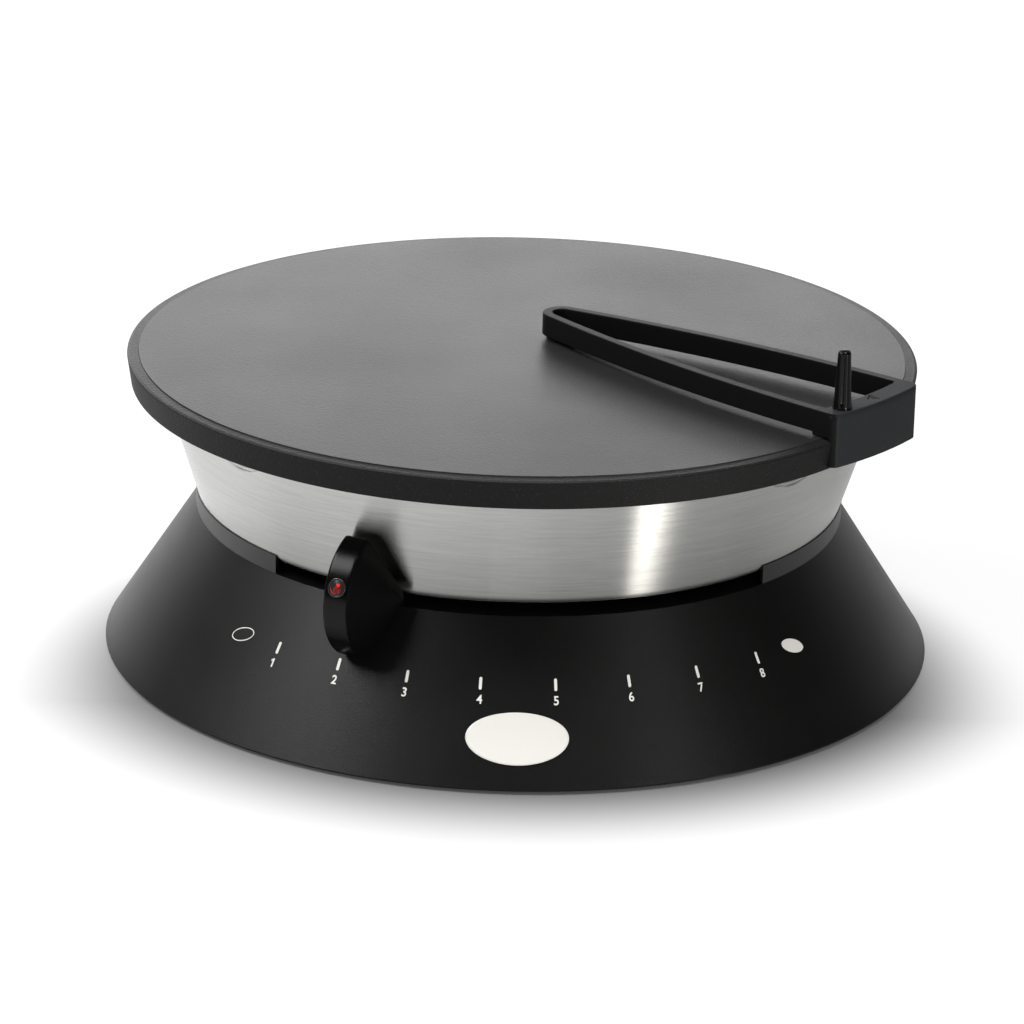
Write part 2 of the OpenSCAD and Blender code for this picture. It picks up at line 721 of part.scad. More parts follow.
module mains_leads() {
    color([0.55, 0.12, 0.1]) {
        wire(route([
            block_hole(0), block_hole(0, 14), [52, 22, lead_z + 12], [34, -4, thermostat_top + 6],
            [22, tab_y, thermostat_top + 5.3], [15.25, tab_y, thermostat_top + 5]
        ], 5), lead_r);
        wire(route([
            [-15.25, tab_y, thermostat_top + 5], [-22, tab_y, thermostat_top + 5.3],
            [-42, 12, thermostat_top + 2], [-50, 34, cutout_z - 3], cutout_tab(1)
        ], 5), lead_r);
        wire(route([
            cutout_tab(-1), [-72, 32, cutout_z - 4], [-74, -10, pin_z - 6],
            end_pin(inner_turn_r, -16) + [-4, 0, -5], end_pin(inner_turn_r, -3)
        ], 5), lead_r);
        wire(route([
            block_hole(11), block_hole(11, 12), polar(168, 92, lead_z + 4), polar(210, 92, lead_z + 6),
            polar(255, 94, lead_z + 8), polar(300, 98, lead_z + 10), end_pin(outer_turn_r, -18) + [-2, 0, -6],
            end_pin(outer_turn_r, -3)
        ], 5), lead_r);
    }
}

earth_z = shoulder_z + bracket_t + fit;
lug_x = bracket_foot_x - 6.6;
module earth_lead() {
    color([0.25, 0.5, 0.2]) {
        wire(route([
            block_hole(-11), block_hole(-11, 10), [93, 42, shoulder_z + 8],
            [bracket_foot_x - 6, 26, shoulder_z + 6], [lug_x, 12, earth_z + 2.8], [lug_x, 1, earth_z + 1.8]
        ], 5), lead_r);
        translate([bracket_foot_x, 0, 0]) difference() {
            rod(3.4, earth_z, earth_z + 0.7);
            rod(1.6, earth_z - eps, earth_z + 0.7 + eps);
        }
        translate([lug_x - 1.6, -1.6, earth_z]) cube([bracket_foot_x - lug_x, 3.2, 0.7]);
    }
}

module earth_screw() {
    color([0.72, 0.62, 0.35]) translate([bracket_foot_x, 0, 0])
        screw(earth_z + 0.7 + fit, 1.45, 8, 3, 1.8);
}

module cord_gland() {
    color([0.07, 0.07, 0.07]) gland_axis() difference() {
        union() {
            translate([0, 0, gland_face + fit]) cylinder(r = gland_head_r, h = 2);
            translate([0, 0, gland_face + fit + 2])
                cylinder(r1 = gland_head_r - 0.6, r2 = gland_r - 1, h = 4);
            translate([0, 0, gland_seat - 8]) cylinder(r = gland_r, h = gland_face - gland_seat + 8.5);
        }
        translate([0, 0, gland_seat - 9]) cylinder(r = cord_hole_r, h = 50);
    }
}

module gland_nut() {
    color([0.1, 0.1, 0.1]) gland_axis() translate([0, 0, gland_seat - 5]) difference() {
        cylinder(r = gland_head_r + 1.5, h = 5 - fit, $fn = 6);
        translate([0, 0, -eps]) cylinder(r = gland_r + fit, h = 6);
    }
}

// ---- lever ----

module lever_arm() {
    color([0.7, 0.7, 0.72]) turned(lever_turn) difference() {
        union() {
            translate([0, -arm_w / 2, arm_z]) cube([pocket_r - fit, arm_w, lever_t]);
            rod(hub_r + 4, arm_z, arm_top);
        }
        rod(hub_r - 2 + fit, arm_z - eps, arm_top + eps);
        translate([knob_screw_r, 0, 0]) rod(1.5, arm_z - eps, arm_top + eps);
    }
}

module lever_hub() {
    color([0.8, 0.68, 0.4]) turned(lever_turn) difference() {
        union() {
            rod(hub_r + 1, hub_z, arm_z - fit / 2);
            rod(hub_r - 2, arm_z - 1, hub_top);
        }
        rod(spindle_r + fit, hub_z - eps, hub_top + eps);
        translate([0, 0, hub_z + 1.5]) rotate([90, 0, 0]) cylinder(r = 1, h = hub_r + 3);
    }
}

module hub_screw() {
    color([0.4, 0.4, 0.42]) turned(lever_turn) translate([0, 0, hub_z + 1.5])
        rotate([90, 0, 0]) difference() {
        translate([0, 0, spindle_r + fit]) cylinder(r = 0.95, h = hub_r - spindle_r);
        translate([-1, -0.2, hub_r - 0.6]) cube([2, 0.4, 2]);
    }
}

module thermostat_spindle() {
    color([0.78, 0.78, 0.8]) turned(lever_turn) rod(spindle_r, spindle_z, spindle_top);
}

// The knob's solid of revolution: a disc that widens towards its middle, about an axis along Y.
module knob_wheel(inset = 0) {
    rotate([90, 0, 0]) rotate_extrude() polygon([
        [0, -knob_root_w / 2 + inset], [knob_r - inset, -knob_face_w / 2 + inset * 0.6],
        [knob_r - inset, knob_face_w / 2 - inset * 0.6], [0, knob_root_w / 2 - inset]
    ]);
}

// The wedge in front of the band and the flare that the knob may fill.
module knob_wedge() {
    r0 = knob_gap_r;
    z0 = knob_back_z;
    s = knob_back_slope;
    rotate([90, 0, 0]) translate([0, 0, -knob_root_w]) linear_extrude(2 * knob_root_w) polygon([
        [r0, z0[0]], [r0 - s[0] * knob_reach, z0[0] - knob_reach], [r0 + 3 * knob_reach, z0[0] - knob_reach],
        [r0 + 3 * knob_reach, z0[1] + knob_reach], [r0 + s[1] * knob_reach, z0[1] + knob_reach], [r0, z0[1]]
    ]);
}

module lamp_axis() {
    translate([knob_c[0], 0, knob_c[1]]) rotate([0, 90 - lamp_tilt, 0]) children();
}

module lever_knob() {
    color([0.06, 0.06, 0.06]) turned(lever_turn) difference() {
        intersection() {
            translate([knob_c[0], 0, knob_c[1]]) knob_wheel();
            knob_wedge();
        }
        translate([0, -arm_w / 2 - fit, arm_z - fit]) cube([pocket_r, arm_w + 2 * fit, lever_t + 2 * fit]);
        lamp_axis() {
            translate([0, 0, knob_r - 1.6]) cylinder(r = bezel_r + fit, h = 5);
            translate([0, 0, knob_r - 1.6 - lens_depth]) cylinder(r = lens_r + fit, h = 6);
            translate([0, 0, knob_r - 1.6 - lens_depth - neon_l - 1])
                cylinder(r = neon_r + fit, h = neon_l + 2);
        }
        translate([knob_screw_r, 0, 0]) {
            rod(1.5, arm_z - 6, arm_z + 4);
            rod(2.7, arm_z - 30, arm_z - 5);
        }
    }
}

module knob_screw() {
    color([0.7, 0.7, 0.72]) turned(lever_turn) translate([knob_screw_r, 0, 0])
        screw(arm_z - 5 - fit, 1.4, 8, 2.5, 1.6, -1);
}

module neon_lamp() {
    color([0.9, 0.55, 0.45]) turned(lever_turn) lamp_axis()
        translate([0, 0, knob_r - 1.6 - lens_depth - neon_l - 0.6]) cylinder(r = neon_r, h = neon_l);
}

module lamp_leads() {
    start = hub_r + 6;
    color([0.75, 0.2, 0.15]) turned(lever_turn) for (y = [-2, 2])
        translate([start, y, arm_top + fit + lamp_lead_r]) rotate([0, 90, 0])
            cylinder(r = lamp_lead_r, h = knob_gap_r - start - slack, $fn = 24);
}

module lamp_bezel() {
    color([0.12, 0.12, 0.12]) turned(lever_turn) lamp_axis() difference() {
        translate([0, 0, knob_r - 1.6 + fit]) cylinder(r = bezel_r, h = 2);
        translate([0, 0, knob_r - 1.7]) cylinder(r = lens_r + fit, h = 4);
    }
}

module lamp_lens() {
    dome = 9;
    color([0.45, 0.03, 0.03]) turned(lever_turn) lamp_axis() intersection() {
        translate([0, 0, knob_r - 1.6 - lens_depth + fit]) cylinder(r = lens_r, h = 6);
        translate([0, 0, knob_r + 0.7 - dome]) sphere(r = dome);
    }
}

// ---- spreader ----
// Its own frame: X along its middle line from the plate's centre to the rim, Y across.

module spreader_place() {
    turned(spreader_turn) translate([0, spreader_slip, 0]) children();
}

// One half of the outline, inset from the outer face: block corner, bowed arm and apex.
function half_outline(inset, corner, face_r) =
    let (
        hw = spreader_half_w - inset,
        cu = sqrt(pow(face_r - corner, 2) - pow(hw - corner, 2)),
        corner_angle = atan2(hw - corner, cu),
        arm_angle = 90 + asin((bow_end - cu) / (arm_bow_r - inset))
    )
    concat(
        arc([0, 0], face_r, 0, corner_angle, 4),
        arc([cu, hw - corner], corner, corner_angle, 90, 4, 1),
        arc([bow_end, -bow_c], arm_bow_r - inset, arm_angle, apex_angle, 14, 1),
        arc([apex_u, 0], apex_r - inset, apex_angle, 180, 6, 1)
    );
function mirrored(p) = concat(p, [for (i = [len(p) - 2:-1:1]) [p[i][0], -p[i][1]]]);

module outline(inset, corner, face_r) {
    polygon(mirrored(half_outline(inset, corner, face_r)));
}

module spreader_frame() {
    tip = block_inner_r + 2;
    color([0.07, 0.07, 0.07]) spreader_place() difference() {
        union() {
            translate([0, 0, frame_bottom]) linear_extrude(frame_h) difference() {
                outline(0, block_corner, block_r);
                outline(arm_t, 2, block_inner_r);
            }
            translate([0, 0, skirt_bottom]) linear_extrude(frame_bottom - skirt_bottom + eps)
                difference() {
                    outline(0, block_corner, block_r);
                    circle(r = skirt_r, $fn = 180);
                }
            translate([0, 0, plate_top + pad_gap]) linear_extrude(batter_gap - pad_gap + eps) {
                difference() {
                    intersection() {
                        outline(0, block_corner, block_r);
                        for (m = [-1, 1]) translate([pad_u, m * (spreader_half_w - 4) - 5]) square([40, 10]);
                    }
                    circle(r = pad_u, $fn = 180);
                }
                difference() {
                    intersection() {
                        outline(foot_inset, 2, block_r);
                        translate([-20, -20]) square([20 + foot_end_u, 40]);
                    }
                    outline(arm_t, 2, block_inner_r);
                }
            }
        }
        translate([peg_u, peg_v, 0])
            rod(peg_spigot_r + 0.02, frame_top - peg_spigot_l - 0.3, frame_top + eps);
        translate([0, 0, frame_top - 0.5]) linear_extrude(1)
            polygon([[tip - 1.2, 3], [tip + 2, -3.1], [tip + 5.8, 1.8]]);
    }
}

module spreader_peg() {
    groove_r = 1.4;
    color([0.05, 0.05, 0.05]) spreader_place() translate([peg_u, peg_v, frame_top]) {
        difference() {
            rotate_extrude($fn = 48) polygon(concat(
                [[0, 0.02], [peg_base_r + 0.5, 0.02], [peg_base_r, 0.7], [peg_tip_r + 0.1, peg_h - 2]],
                arc([peg_tip_r - 1.5, peg_h - 1.8], 1.6, 0, 90, 5), [[0, peg_h - 0.2]]
            ));
            for (a = [35, 125, 215, 305]) rotate([0, 0, a]) translate([peg_base_r + groove_r - 0.5, 0, 2])
                rotate([0, -atan((peg_base_r - peg_tip_r) / (peg_h - 2)) - 1, 0])
                    cylinder(r = groove_r, h = peg_h);
        }
        rod(peg_spigot_r, -peg_spigot_l, 0.03);
    }
}

base_shell();
bottom_cover();
rubber_feet();
cover_screws();
badge_plate();
steel_band();
band_screws();
griddle_plate();
plate_pillars();
pillar_screws();
heating_element();
element_clamps();
clamp_screws();
insulation_pad();
heat_reflector();
thermostat_bracket();
bracket_screws();
thermostat_body();
thermostat_nut();
thermostat_tabs();
sensor_bulb();
bulb_clip();
clip_screw();
thermal_cutout();
cutout_screws();
terminal_block();
terminal_screws();
block_screws();
mains_leads();
earth_lead();
earth_screw();
cord_gland();
gland_nut();
lever_arm();
lever_hub();
hub_screw();
thermostat_spindle();
lever_knob();
knob_screw();
neon_lamp();
lamp_leads();
lamp_bezel();
lamp_lens();
spreader_frame();
spreader_peg();
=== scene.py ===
import math

import bpy
import numpy as np
from mathutils import Matrix


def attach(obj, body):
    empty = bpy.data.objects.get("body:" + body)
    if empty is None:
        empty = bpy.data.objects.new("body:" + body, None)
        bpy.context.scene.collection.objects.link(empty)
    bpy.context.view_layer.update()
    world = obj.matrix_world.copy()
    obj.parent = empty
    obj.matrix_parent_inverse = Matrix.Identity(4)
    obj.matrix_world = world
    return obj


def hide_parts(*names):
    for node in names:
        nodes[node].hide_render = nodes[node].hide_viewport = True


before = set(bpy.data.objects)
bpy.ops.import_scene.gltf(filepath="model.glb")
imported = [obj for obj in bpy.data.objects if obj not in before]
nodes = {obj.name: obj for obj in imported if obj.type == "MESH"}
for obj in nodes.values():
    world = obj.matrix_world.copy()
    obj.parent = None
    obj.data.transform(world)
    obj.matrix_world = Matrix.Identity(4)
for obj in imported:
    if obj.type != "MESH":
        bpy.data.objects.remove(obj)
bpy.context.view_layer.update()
mm = 0.001
small, tiny, farAway = 1e-6, 1e-9, 1e4  # guards for divisions, and a distance past everything
print("frame loaded:", len(nodes), "nodes")


# Faces over a grid of points, closed in both directions, or in the first one only, with a pole at each end of
# the second. A pole is one shared point.
def gridSurface(points, poles=False):
    points = np.asarray(points, float)
    nu, nv = points.shape[:2]
    index = np.arange(nu * nv).reshape(nu, nv)
    if poles:
        index[:, 0], index[:, -1] = index[0, 0], index[0, -1]
    index = np.vstack([index, index[:1]])
    if not poles:
        index = np.hstack([index, index[:, :1]])
    quads = np.stack([index[:-1, :-1], index[1:, :-1], index[1:, 1:], index[:-1, 1:]], -1).reshape(-1, 4)
    verts = points.reshape(-1, 3)
    corners = verts[quads]  # six times the signed volume, to turn the faces outwards
    volume = np.einsum("ij,ij->i", corners[:, 0], np.cross(corners[:, 1], corners[:, 2])).sum()
    volume += np.einsum("ij,ij->i", corners[:, 0], np.cross(corners[:, 2], corners[:, 3])).sum()
    if volume < 0:
        quads = quads[:, ::-1]
    return verts, quads


def addObject(name, data):
    item = bpy.data.objects.new(name, data)
    bpy.context.scene.collection.objects.link(item)
    return item


# One piece from one or more grid surfaces, in metres, with poles and unused points tidied away.
def makePiece(name, surfaces, body, slot, replaces=(), look=None, smooth=True):
    verts = np.vstack([s[0] for s in surfaces])
    starts = np.cumsum([0] + [len(s[0]) for s in surfaces[:-1]])
    quads = np.vstack([s[1] + start for s, start in zip(surfaces, starts)])
    used, quads = np.unique(quads, return_inverse=True)
    quads = quads.reshape(-1, 4)
    verts = verts[used] * mm
    same = quads == np.roll(quads, -1, axis=1)
    whole = ~same.any(axis=1)
    faces = quads[whole].tolist()
    for k in range(4):
        pick = same[:, k] & (same.sum(axis=1) == 1)
        faces += np.delete(quads[pick], k, axis=1).tolist()
    mesh = bpy.data.meshes.new(name)
    mesh.from_pydata(verts.tolist(), [], faces)
    mesh.polygons.foreach_set("use_smooth", np.full(len(mesh.polygons), smooth))
    mesh.materials.append(look or finishes[slot])
    mesh.update()
    piece = addObject(name, mesh)
    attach(piece, body)
    if replaces:
        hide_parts(*replaces)
    return piece


# Gives some of a piece's faces a second material, picked by their centres in mm and their normals.
def repaint(piece, material, pick):
    mesh = piece.data
    centres, normals = np.empty(len(mesh.polygons) * 3), np.empty(len(mesh.polygons) * 3)
    mesh.polygons.foreach_get("center", centres)
    mesh.polygons.foreach_get("normal", normals)
    mesh.materials.append(material)
    chosen = pick(centres.reshape(-1, 3) / mm, normals.reshape(-1, 3))
    mesh.polygons.foreach_set("material_index", chosen.astype(np.int32))
    mesh.update()


# A polyline whose corners are arcs: each starts at the radius over the tangent of half the corner's angle, or
# at a share of the side if that is less. A point beyond each end of an arc holds the side flat.
def roundCorners(points, radii, steps=4, closed=True, share=0.45, hold=0.3, holdShare=0.3):
    points = np.asarray(points, float)
    count = len(points)
    line = []
    for k in range(count):
        corner = points[k]
        if not closed and k in (0, count - 1) or radii[k] == 0:
            line.append(corner[None])
            continue
        before = points[k - 1] - corner
        after = points[(k + 1) % count] - corner
        lengthA, lengthB = np.linalg.norm(before), np.linalg.norm(after)
        before, after = before / lengthA, after / lengthB
        half = math.acos(np.clip(before @ after, -1, 1)) / 2
        reach = min(radii[k] / math.tan(half), lengthA * share, lengthB * share)
        radius = reach * math.tan(half)
        bisector = (before + after) / np.linalg.norm(before + after)
        centre = corner + bisector * radius / math.sin(half)
        a, b = corner + before * reach - centre, corner + after * reach - centre
        sweep = math.pi - 2 * half
        t = np.linspace(0, 1, steps + 1)[:, None]
        arc = centre + (np.sin((1 - t) * sweep) * a + np.sin(t * sweep) * b) / math.sin(sweep)
        gapA = min(hold, holdShare * (lengthA - reach))
        gapB = min(hold, holdShare * (lengthB - reach))
        line.append(np.vstack([arc[:1] + before * gapA, arc, arc[-1:] + after * gapB]))
    return np.vstack(line)


# Evenly spaced points from one end of a straight to the other, with no step longer than a limit.
def densify(start, end, longest):
    steps = max(1, math.ceil(np.linalg.norm(end - start) / longest))
    return start + (end - start) * np.arange(steps + 1)[:, None] / steps


# A point from its azimuth from the front: x is the radius by the sine, y is less the radius by the cosine.
def polar(azimuth, radius, height):
    return np.stack(np.broadcast_arrays(radius * np.sin(azimuth), -radius * np.cos(azimuth), height), -1)


# Points of a circle at some angles: x by the cosine and y by the sine.
def circle(angle, radius=1.0, centre=(0, 0)):
    return np.stack([centre[0] + radius * np.cos(angle), centre[1] + radius * np.sin(angle)], -1)


# Evenly spaced turns round a full circle, as a column.
def fullTurn(steps):
    return np.linspace(0, 2 * math.pi, steps, endpoint=False)[:, None]


# A profile of radius and height turned round the vertical axis, or round a parallel one at a centre.
def lathe(profile, steps, poles=False, centre=(0, 0)):
    points = polar(fullTurn(steps), profile[None, :, 0], profile[None, :, 1])
    points[..., 0] += centre[0]
    points[..., 1] += centre[1]
    return gridSurface(points, poles)


# Finishes: shared skins as node groups with named inputs and outputs, then one material for each slot.
finishInputs = {"Colour": (0.5, 0.5, 0.5, 1), "Colour Spread": 0.1, "Roughness": 0.4, "Roughness Spread": 0.1,
                "Grain": 1000.0, "Depth": 0.1}
finishOutputs = {"Colour": "NodeSocketColor", "Roughness": "NodeSocketFloat", "Normal": "NodeSocketVector"}


def newGroup(name, **more):
    group = bpy.data.node_groups.new(name, "ShaderNodeTree")
    for label, value in {**finishInputs, **more}.items():
        kind = "NodeSocketFloat" if isinstance(value, float) else "NodeSocketColor"
        group.interface.new_socket(label, in_out="INPUT", socket_type=kind).default_value = value
    for label, kind in finishOutputs.items():
        group.interface.new_socket(label, in_out="OUTPUT", socket_type=kind)
    return group, group.nodes.new("NodeGroupInput"), group.nodes.new("NodeGroupOutput")


# Links or sets a node's inputs.
def fill(tree, item, inputs):
    for key, value in inputs.items():
        if isinstance(value, bpy.types.NodeSocket):
            tree.links.new(value, item.inputs[key])
        else:
            item.inputs[key].default_value = value


def addNode(tree, kind, inputs=None, **properties):
    item = tree.nodes.new("ShaderNode" + kind)
    for key, value in properties.items():
        setattr(item, key, value)
    fill(tree, item, inputs or {})
    return item


def maths(tree, operation, a, b=0.0, clamp=False):
    return addNode(tree, "Math", {0: a, 1: b}, operation=operation, use_clamp=clamp).outputs[0]


def plus(tree, a, b, clamp=False):
    return maths(tree, "ADD", a, b, clamp)


def times(tree, first, *others):
    for other in others:
        first = maths(tree, "MULTIPLY", first, other)
    return first


def vectorMaths(tree, operation, a, b=(0, 0, 0)):
    item = addNode(tree, "VectorMath", {0: a, 1: b}, operation=operation)
    return item.outputs["Vector" if operation == "SUBTRACT" else "Value"]


def mixColour(tree, factor, a, b):
    return addNode(tree, "Mix", {0: factor, 6: a, 7: b}, data_type="RGBA").outputs[2]


def ramp(tree, value, low, high, toLow=0.0, toHigh=1.0, kind="LINEAR"):
    return addNode(tree, "MapRange", {
        "Value": value, "From Min": low, "From Max": high, "To Min": toLow, "To Max": toHigh},
        interpolation_type=kind).outputs[0]


def objectSpace(tree, scale=(1, 1, 1)):
    place = addNode(tree, "TexCoord").outputs["Object"]
    return addNode(tree, "Mapping", {"Vector": place, "Scale": scale}).outputs[0]


def noise(tree, place, frequency, detail=2.0, roughness=0.5):
    return addNode(tree, "TexNoise", {
        "Vector": place, "Scale": frequency, "Detail": detail, "Roughness": roughness}).outputs[0]


# One value by its share, plus another by the rest.
def weighted(tree, a, b, share):
    return plus(tree, times(tree, a, share), times(tree, b, 1 - share))


skinSettings = {
    "relief": 0.0004, "drift": 22.0, "grainShare": 0.6,
    "lineRelief": 0.0002, "fineStretch": (0.03, 0.03, 1), "broadStretch": (0.02, 0.02, 1), "broad": 260.0,
    "cloud": 9.0, "fineShare": 0.72, "lineShare": 0.7,
    "coatDrift": 11.0, "coatShare": 0.7, "cells": 1100.0, "fleckEdge": (0.42, 0.2), "fleckChoice": (0.6, 1.0),
    "fleckHeight": 0.5}


# What the skins share: tone swings the colour, gloss swings the roughness, and height gives the relief.
def endSkin(group, source, target, tone, gloss, height, distance, flecks=None):
    swing = times(group, maths(group, "SUBTRACT", tone, 0.5), source.outputs["Colour Spread"])
    gain = plus(group, times(group, swing, 2.0), 1.0)
    if flecks is not None:
        gain = plus(group, gain, flecks)
    colour = addNode(group, "VectorMath", {0: source.outputs["Colour"], "Scale": gain}, operation="SCALE")
    shift = times(group, maths(group, "SUBTRACT", gloss, 0.5), source.outputs["Roughness Spread"])
    bump = addNode(group, "Bump", {
        "Height": height, "Strength": source.outputs["Depth"], "Distance": distance})
    fill(group, target, {
        "Colour": colour.outputs[0], "Roughness": plus(group, source.outputs["Roughness"], shift, clamp=True),
        "Normal": bump.outputs[0]})
    return group


# Moulded or cast skin: fine grain as relief, with slow drifts of tone and gloss.
def mouldedSkin():
    s = skinSettings
    group, source, target = newGroup("mouldedSkin")
    place = objectSpace(group)
    grain = noise(group, place, source.outputs["Grain"], 3.0, 0.6)
    drift = noise(group, place, s["drift"], 4.0)
    tone = weighted(group, grain, drift, s["grainShare"])
    return endSkin(group, source, target, tone, drift, grain, s["relief"])


# Brushed metal: very long fine lines that follow the vertical axis's rings, as tone, gloss and relief.
def brushedSkin():
    s = skinSettings
    group, source, target = newGroup("brushedSkin")
    fine = noise(group, objectSpace(group, s["fineStretch"]), source.outputs["Grain"], 3.0, 0.7)
    broad = noise(group, objectSpace(group, s["broadStretch"]), s["broad"], 3.0)
    cloud = noise(group, objectSpace(group), s["cloud"])
    lines = weighted(group, fine, broad, s["fineShare"])
    gloss = weighted(group, lines, cloud, s["lineShare"])
    return endSkin(group, source, target, lines, gloss, lines, s["lineRelief"])


# Sprayed coating: sparse pale flecks over an orange-peel relief.
def coatedSkin():
    s = skinSettings
    group, source, target = newGroup("coatedSkin", Flecks=0.3)
    place = objectSpace(group)
    grain = noise(group, place, source.outputs["Grain"])
    cells = addNode(group, "TexVoronoi", {"Vector": place, "Scale": s["cells"]})
    chance = addNode(group, "SeparateColor", {0: cells.outputs["Color"]}).outputs[0]
    chosen = ramp(group, chance, *s["fleckChoice"])
    fleck = times(group, ramp(group, cells.outputs[0], *s["fleckEdge"]), chosen)
    drift = noise(group, place, s["coatDrift"], 5.0)
    tone = weighted(group, grain, drift, s["coatShare"])
    height = plus(group, grain, times(group, fleck, s["fleckHeight"]))
    flecks = times(group, fleck, source.outputs["Flecks"])
    return endSkin(group, source, target, tone, drift, height, s["relief"], flecks)


skins = {"moulded": mouldedSkin(), "brushed": brushedSkin(), "coated": coatedSkin()}


def newMaterial(name):
    material = bpy.data.materials.new(name)
    material.use_nodes = True
    return material, material.node_tree, material.node_tree.nodes["Principled BSDF"]


# A material whose colour, roughness and normal come from one of the shared skins. A single number is a grey.
def finish(name, colour, rough, grain, depth, spread=0.1, glossSpread=0.08, flecks=None, skin="moulded",
           specular=0.5, **shader):
    material, tree, principled = newMaterial(name)
    colour = (colour, colour, colour) if isinstance(colour, float) else colour
    values = {"Colour": (*colour, 1), "Colour Spread": spread, "Roughness": rough,
              "Roughness Spread": glossSpread, "Grain": grain, "Depth": depth}
    if flecks is not None:
        values["Flecks"] = flecks
    outputs = addNode(tree, "Group", values, node_tree=skins[skin]).outputs
    fill(tree, principled, {"Base Color": outputs["Colour"], "Roughness": outputs["Roughness"],
                            "Normal": outputs["Normal"], "Specular IOR Level": specular})
    fill(tree, principled, {key.replace("_", " "): value for key, value in shader.items()})
    return material


# Each finish: name, colour, roughness, grain and depth of relief, spreads of tone and gloss, and flecks.
finishes = {
    "base_plastic": finish("satinBlackBase", 0.003, 0.39, 1900, 0.17, 0.4, 0.12, specular=0.42),
    "cover_paint": finish("paintedCover", 0.05, 0.5, 1500, 0.15),
    "foot_rubber": finish("footRubber", 0.02, 0.75, 1800, 0.2),
    "badge_face": finish("badgeFace", (0.79, 0.78, 0.73), 0.3, 900, 0.03, 0.03),
    "band_steel": finish("brushedBand", (0.50, 0.50, 0.485), 0.255, 1500, 0.2, 0.27, 0.1, skin="brushed",
                         Metallic=1.0, Anisotropic=1.0, Anisotropic_Rotation=0.25),
    "plate_coating": finish("plateCoating", 0.016, 0.42, 1200, 0.38, 0.3, 0.15, 0.5, "coated", 0.33),
    "rim_coating": finish("rimCoating", 0.006, 0.58, 1300, 0.5, 0.3, 0.1, 3.0, "coated", 0.17),
    "ring_coating": finish("ringCoating", 0.012, 0.45, 1000, 0.6, 0.3, 0.15, 2.0, "coated", 0.19),
    "zinc_steel": finish("zincSteel", (0.6, 0.61, 0.63), 0.35, 900, 0.1, Metallic=1.0),
    "sheath_steel": finish("heaterSheath", (0.16, 0.13, 0.11), 0.5, 1200, 0.2, 0.4, Metallic=1.0),
    "fibre_pad": finish("ceramicFibre", (0.78, 0.75, 0.68), 0.95, 700, 0.8, 0.2),
    "reflector_sheet": finish("reflectorSheet", 0.8, 0.22, 600, 0.05, 0.05, Metallic=1.0),
    "ceramic_body": finish("ceramicBody", (0.72, 0.68, 0.58), 0.7, 1500, 0.2),
    "brass": finish("plainBrass", (0.72, 0.53, 0.25), 0.3, 1200, 0.08, 0.15, Metallic=1.0),
    "copper_tube": finish("copperTube", (0.75, 0.4, 0.27), 0.3, 1200, 0.08, 0.2, Metallic=1.0),
    "terminal_plastic": finish("terminalNylon", (0.78, 0.77, 0.7), 0.45, 1500, 0.1, 0.05),
    "mains_insulation": finish("mainsSleeve", (0.35, 0.07, 0.05), 0.6, 2500, 0.3, 0.2),
    "earth_insulation": finish("earthSleeve", (0.2, 0.36, 0.08), 0.6, 2500, 0.3, 0.2),
    "gland_plastic": finish("glandNylon", 0.025, 0.45, 2000, 0.12),
    "arm_steel": finish("armSteel", 0.5, 0.32, 1000, 0.1, Metallic=1.0),
    "knob_plastic": finish("knobPlastic", 0.002, 0.23, 2600, 0.04, 0.2, specular=0.14),
    # A copy of the knob plastic with almost no gloss: painted shade on the knob's sides and lower rim.
    "knob_side": finish("knobSideShaded", 0.003, 0.42, 2600, 0.06, 0.2, specular=0.02),
    "bezel_plastic": finish("bezelPlastic", 0.02, 0.18, 2000, 0.03),
    "lead_sleeve": finish("leadSleeve", (0.4, 0.06, 0.05), 0.5, 2000, 0.2),
    "spreader_plastic": finish("spreaderPlastic", 0.005, 0.48, 2400, 0.3, 0.3, specular=0.1),
    # The block's plastic is coarser than the arms' and paler; the paleness is partly painted light on the
    # block's top and outer face.
    "block_plastic": finish("blockPlasticLit", (0.022, 0.0235, 0.025), 0.6, 1300, 0.5, 0.3, specular=0.12),
    "peg_plastic": finish("pegPlastic", 0.003, 0.14, 2000, 0.04, 0.2, specular=0.15),
    "neon_glass": finish("neonGlass", (0.9, 0.65, 0.55), 0.05, 500, 0.01, 0.02, Transmission_Weight=0.7)}
printWhite = finish("printWhite", (0.82, 0.81, 0.76), 0.55, 1500, 0.05, 0.05)

# The lamp lens, in metres: its middle and its directions across and up, then the painted red glints seen in
# it.
lens = {
    "middle": (-0.07707, -0.15801, 0.08079), "across": (0.8988, -0.4384, 0.0), "up": (0.1571, 0.3221, 0.9336),
    "patchAt": (0.0007, 0.0012, 0), "patchEdge": (0.0008, 0.0005), "waver": 0.0012, "waverScale": 2600.0,
    "specksAt": (0.0004, -0.0008, 0), "specksEdge": (0.0019, 0.0012, 0.0, 0.55), "speckScale": 3200.0,
    "speckEdge": (0.45, 0.25), "ringInner": (0.0024, 0.0027), "ringOuter": (0.0031, 0.0029),
    "arcEdge": (-0.0026, -0.0036), "arcBreaks": (0.42, 0.58), "arcWhite": 0.5,
    "dark": (0.022, 0.02, 0.02, 1), "red": (0.7, 0.01, 0.01, 1), "glow": (0.95, 0.015, 0.012, 1),
    "glintGlowStrength": 0.9, "rough": 0.2, "specular": 0.15}
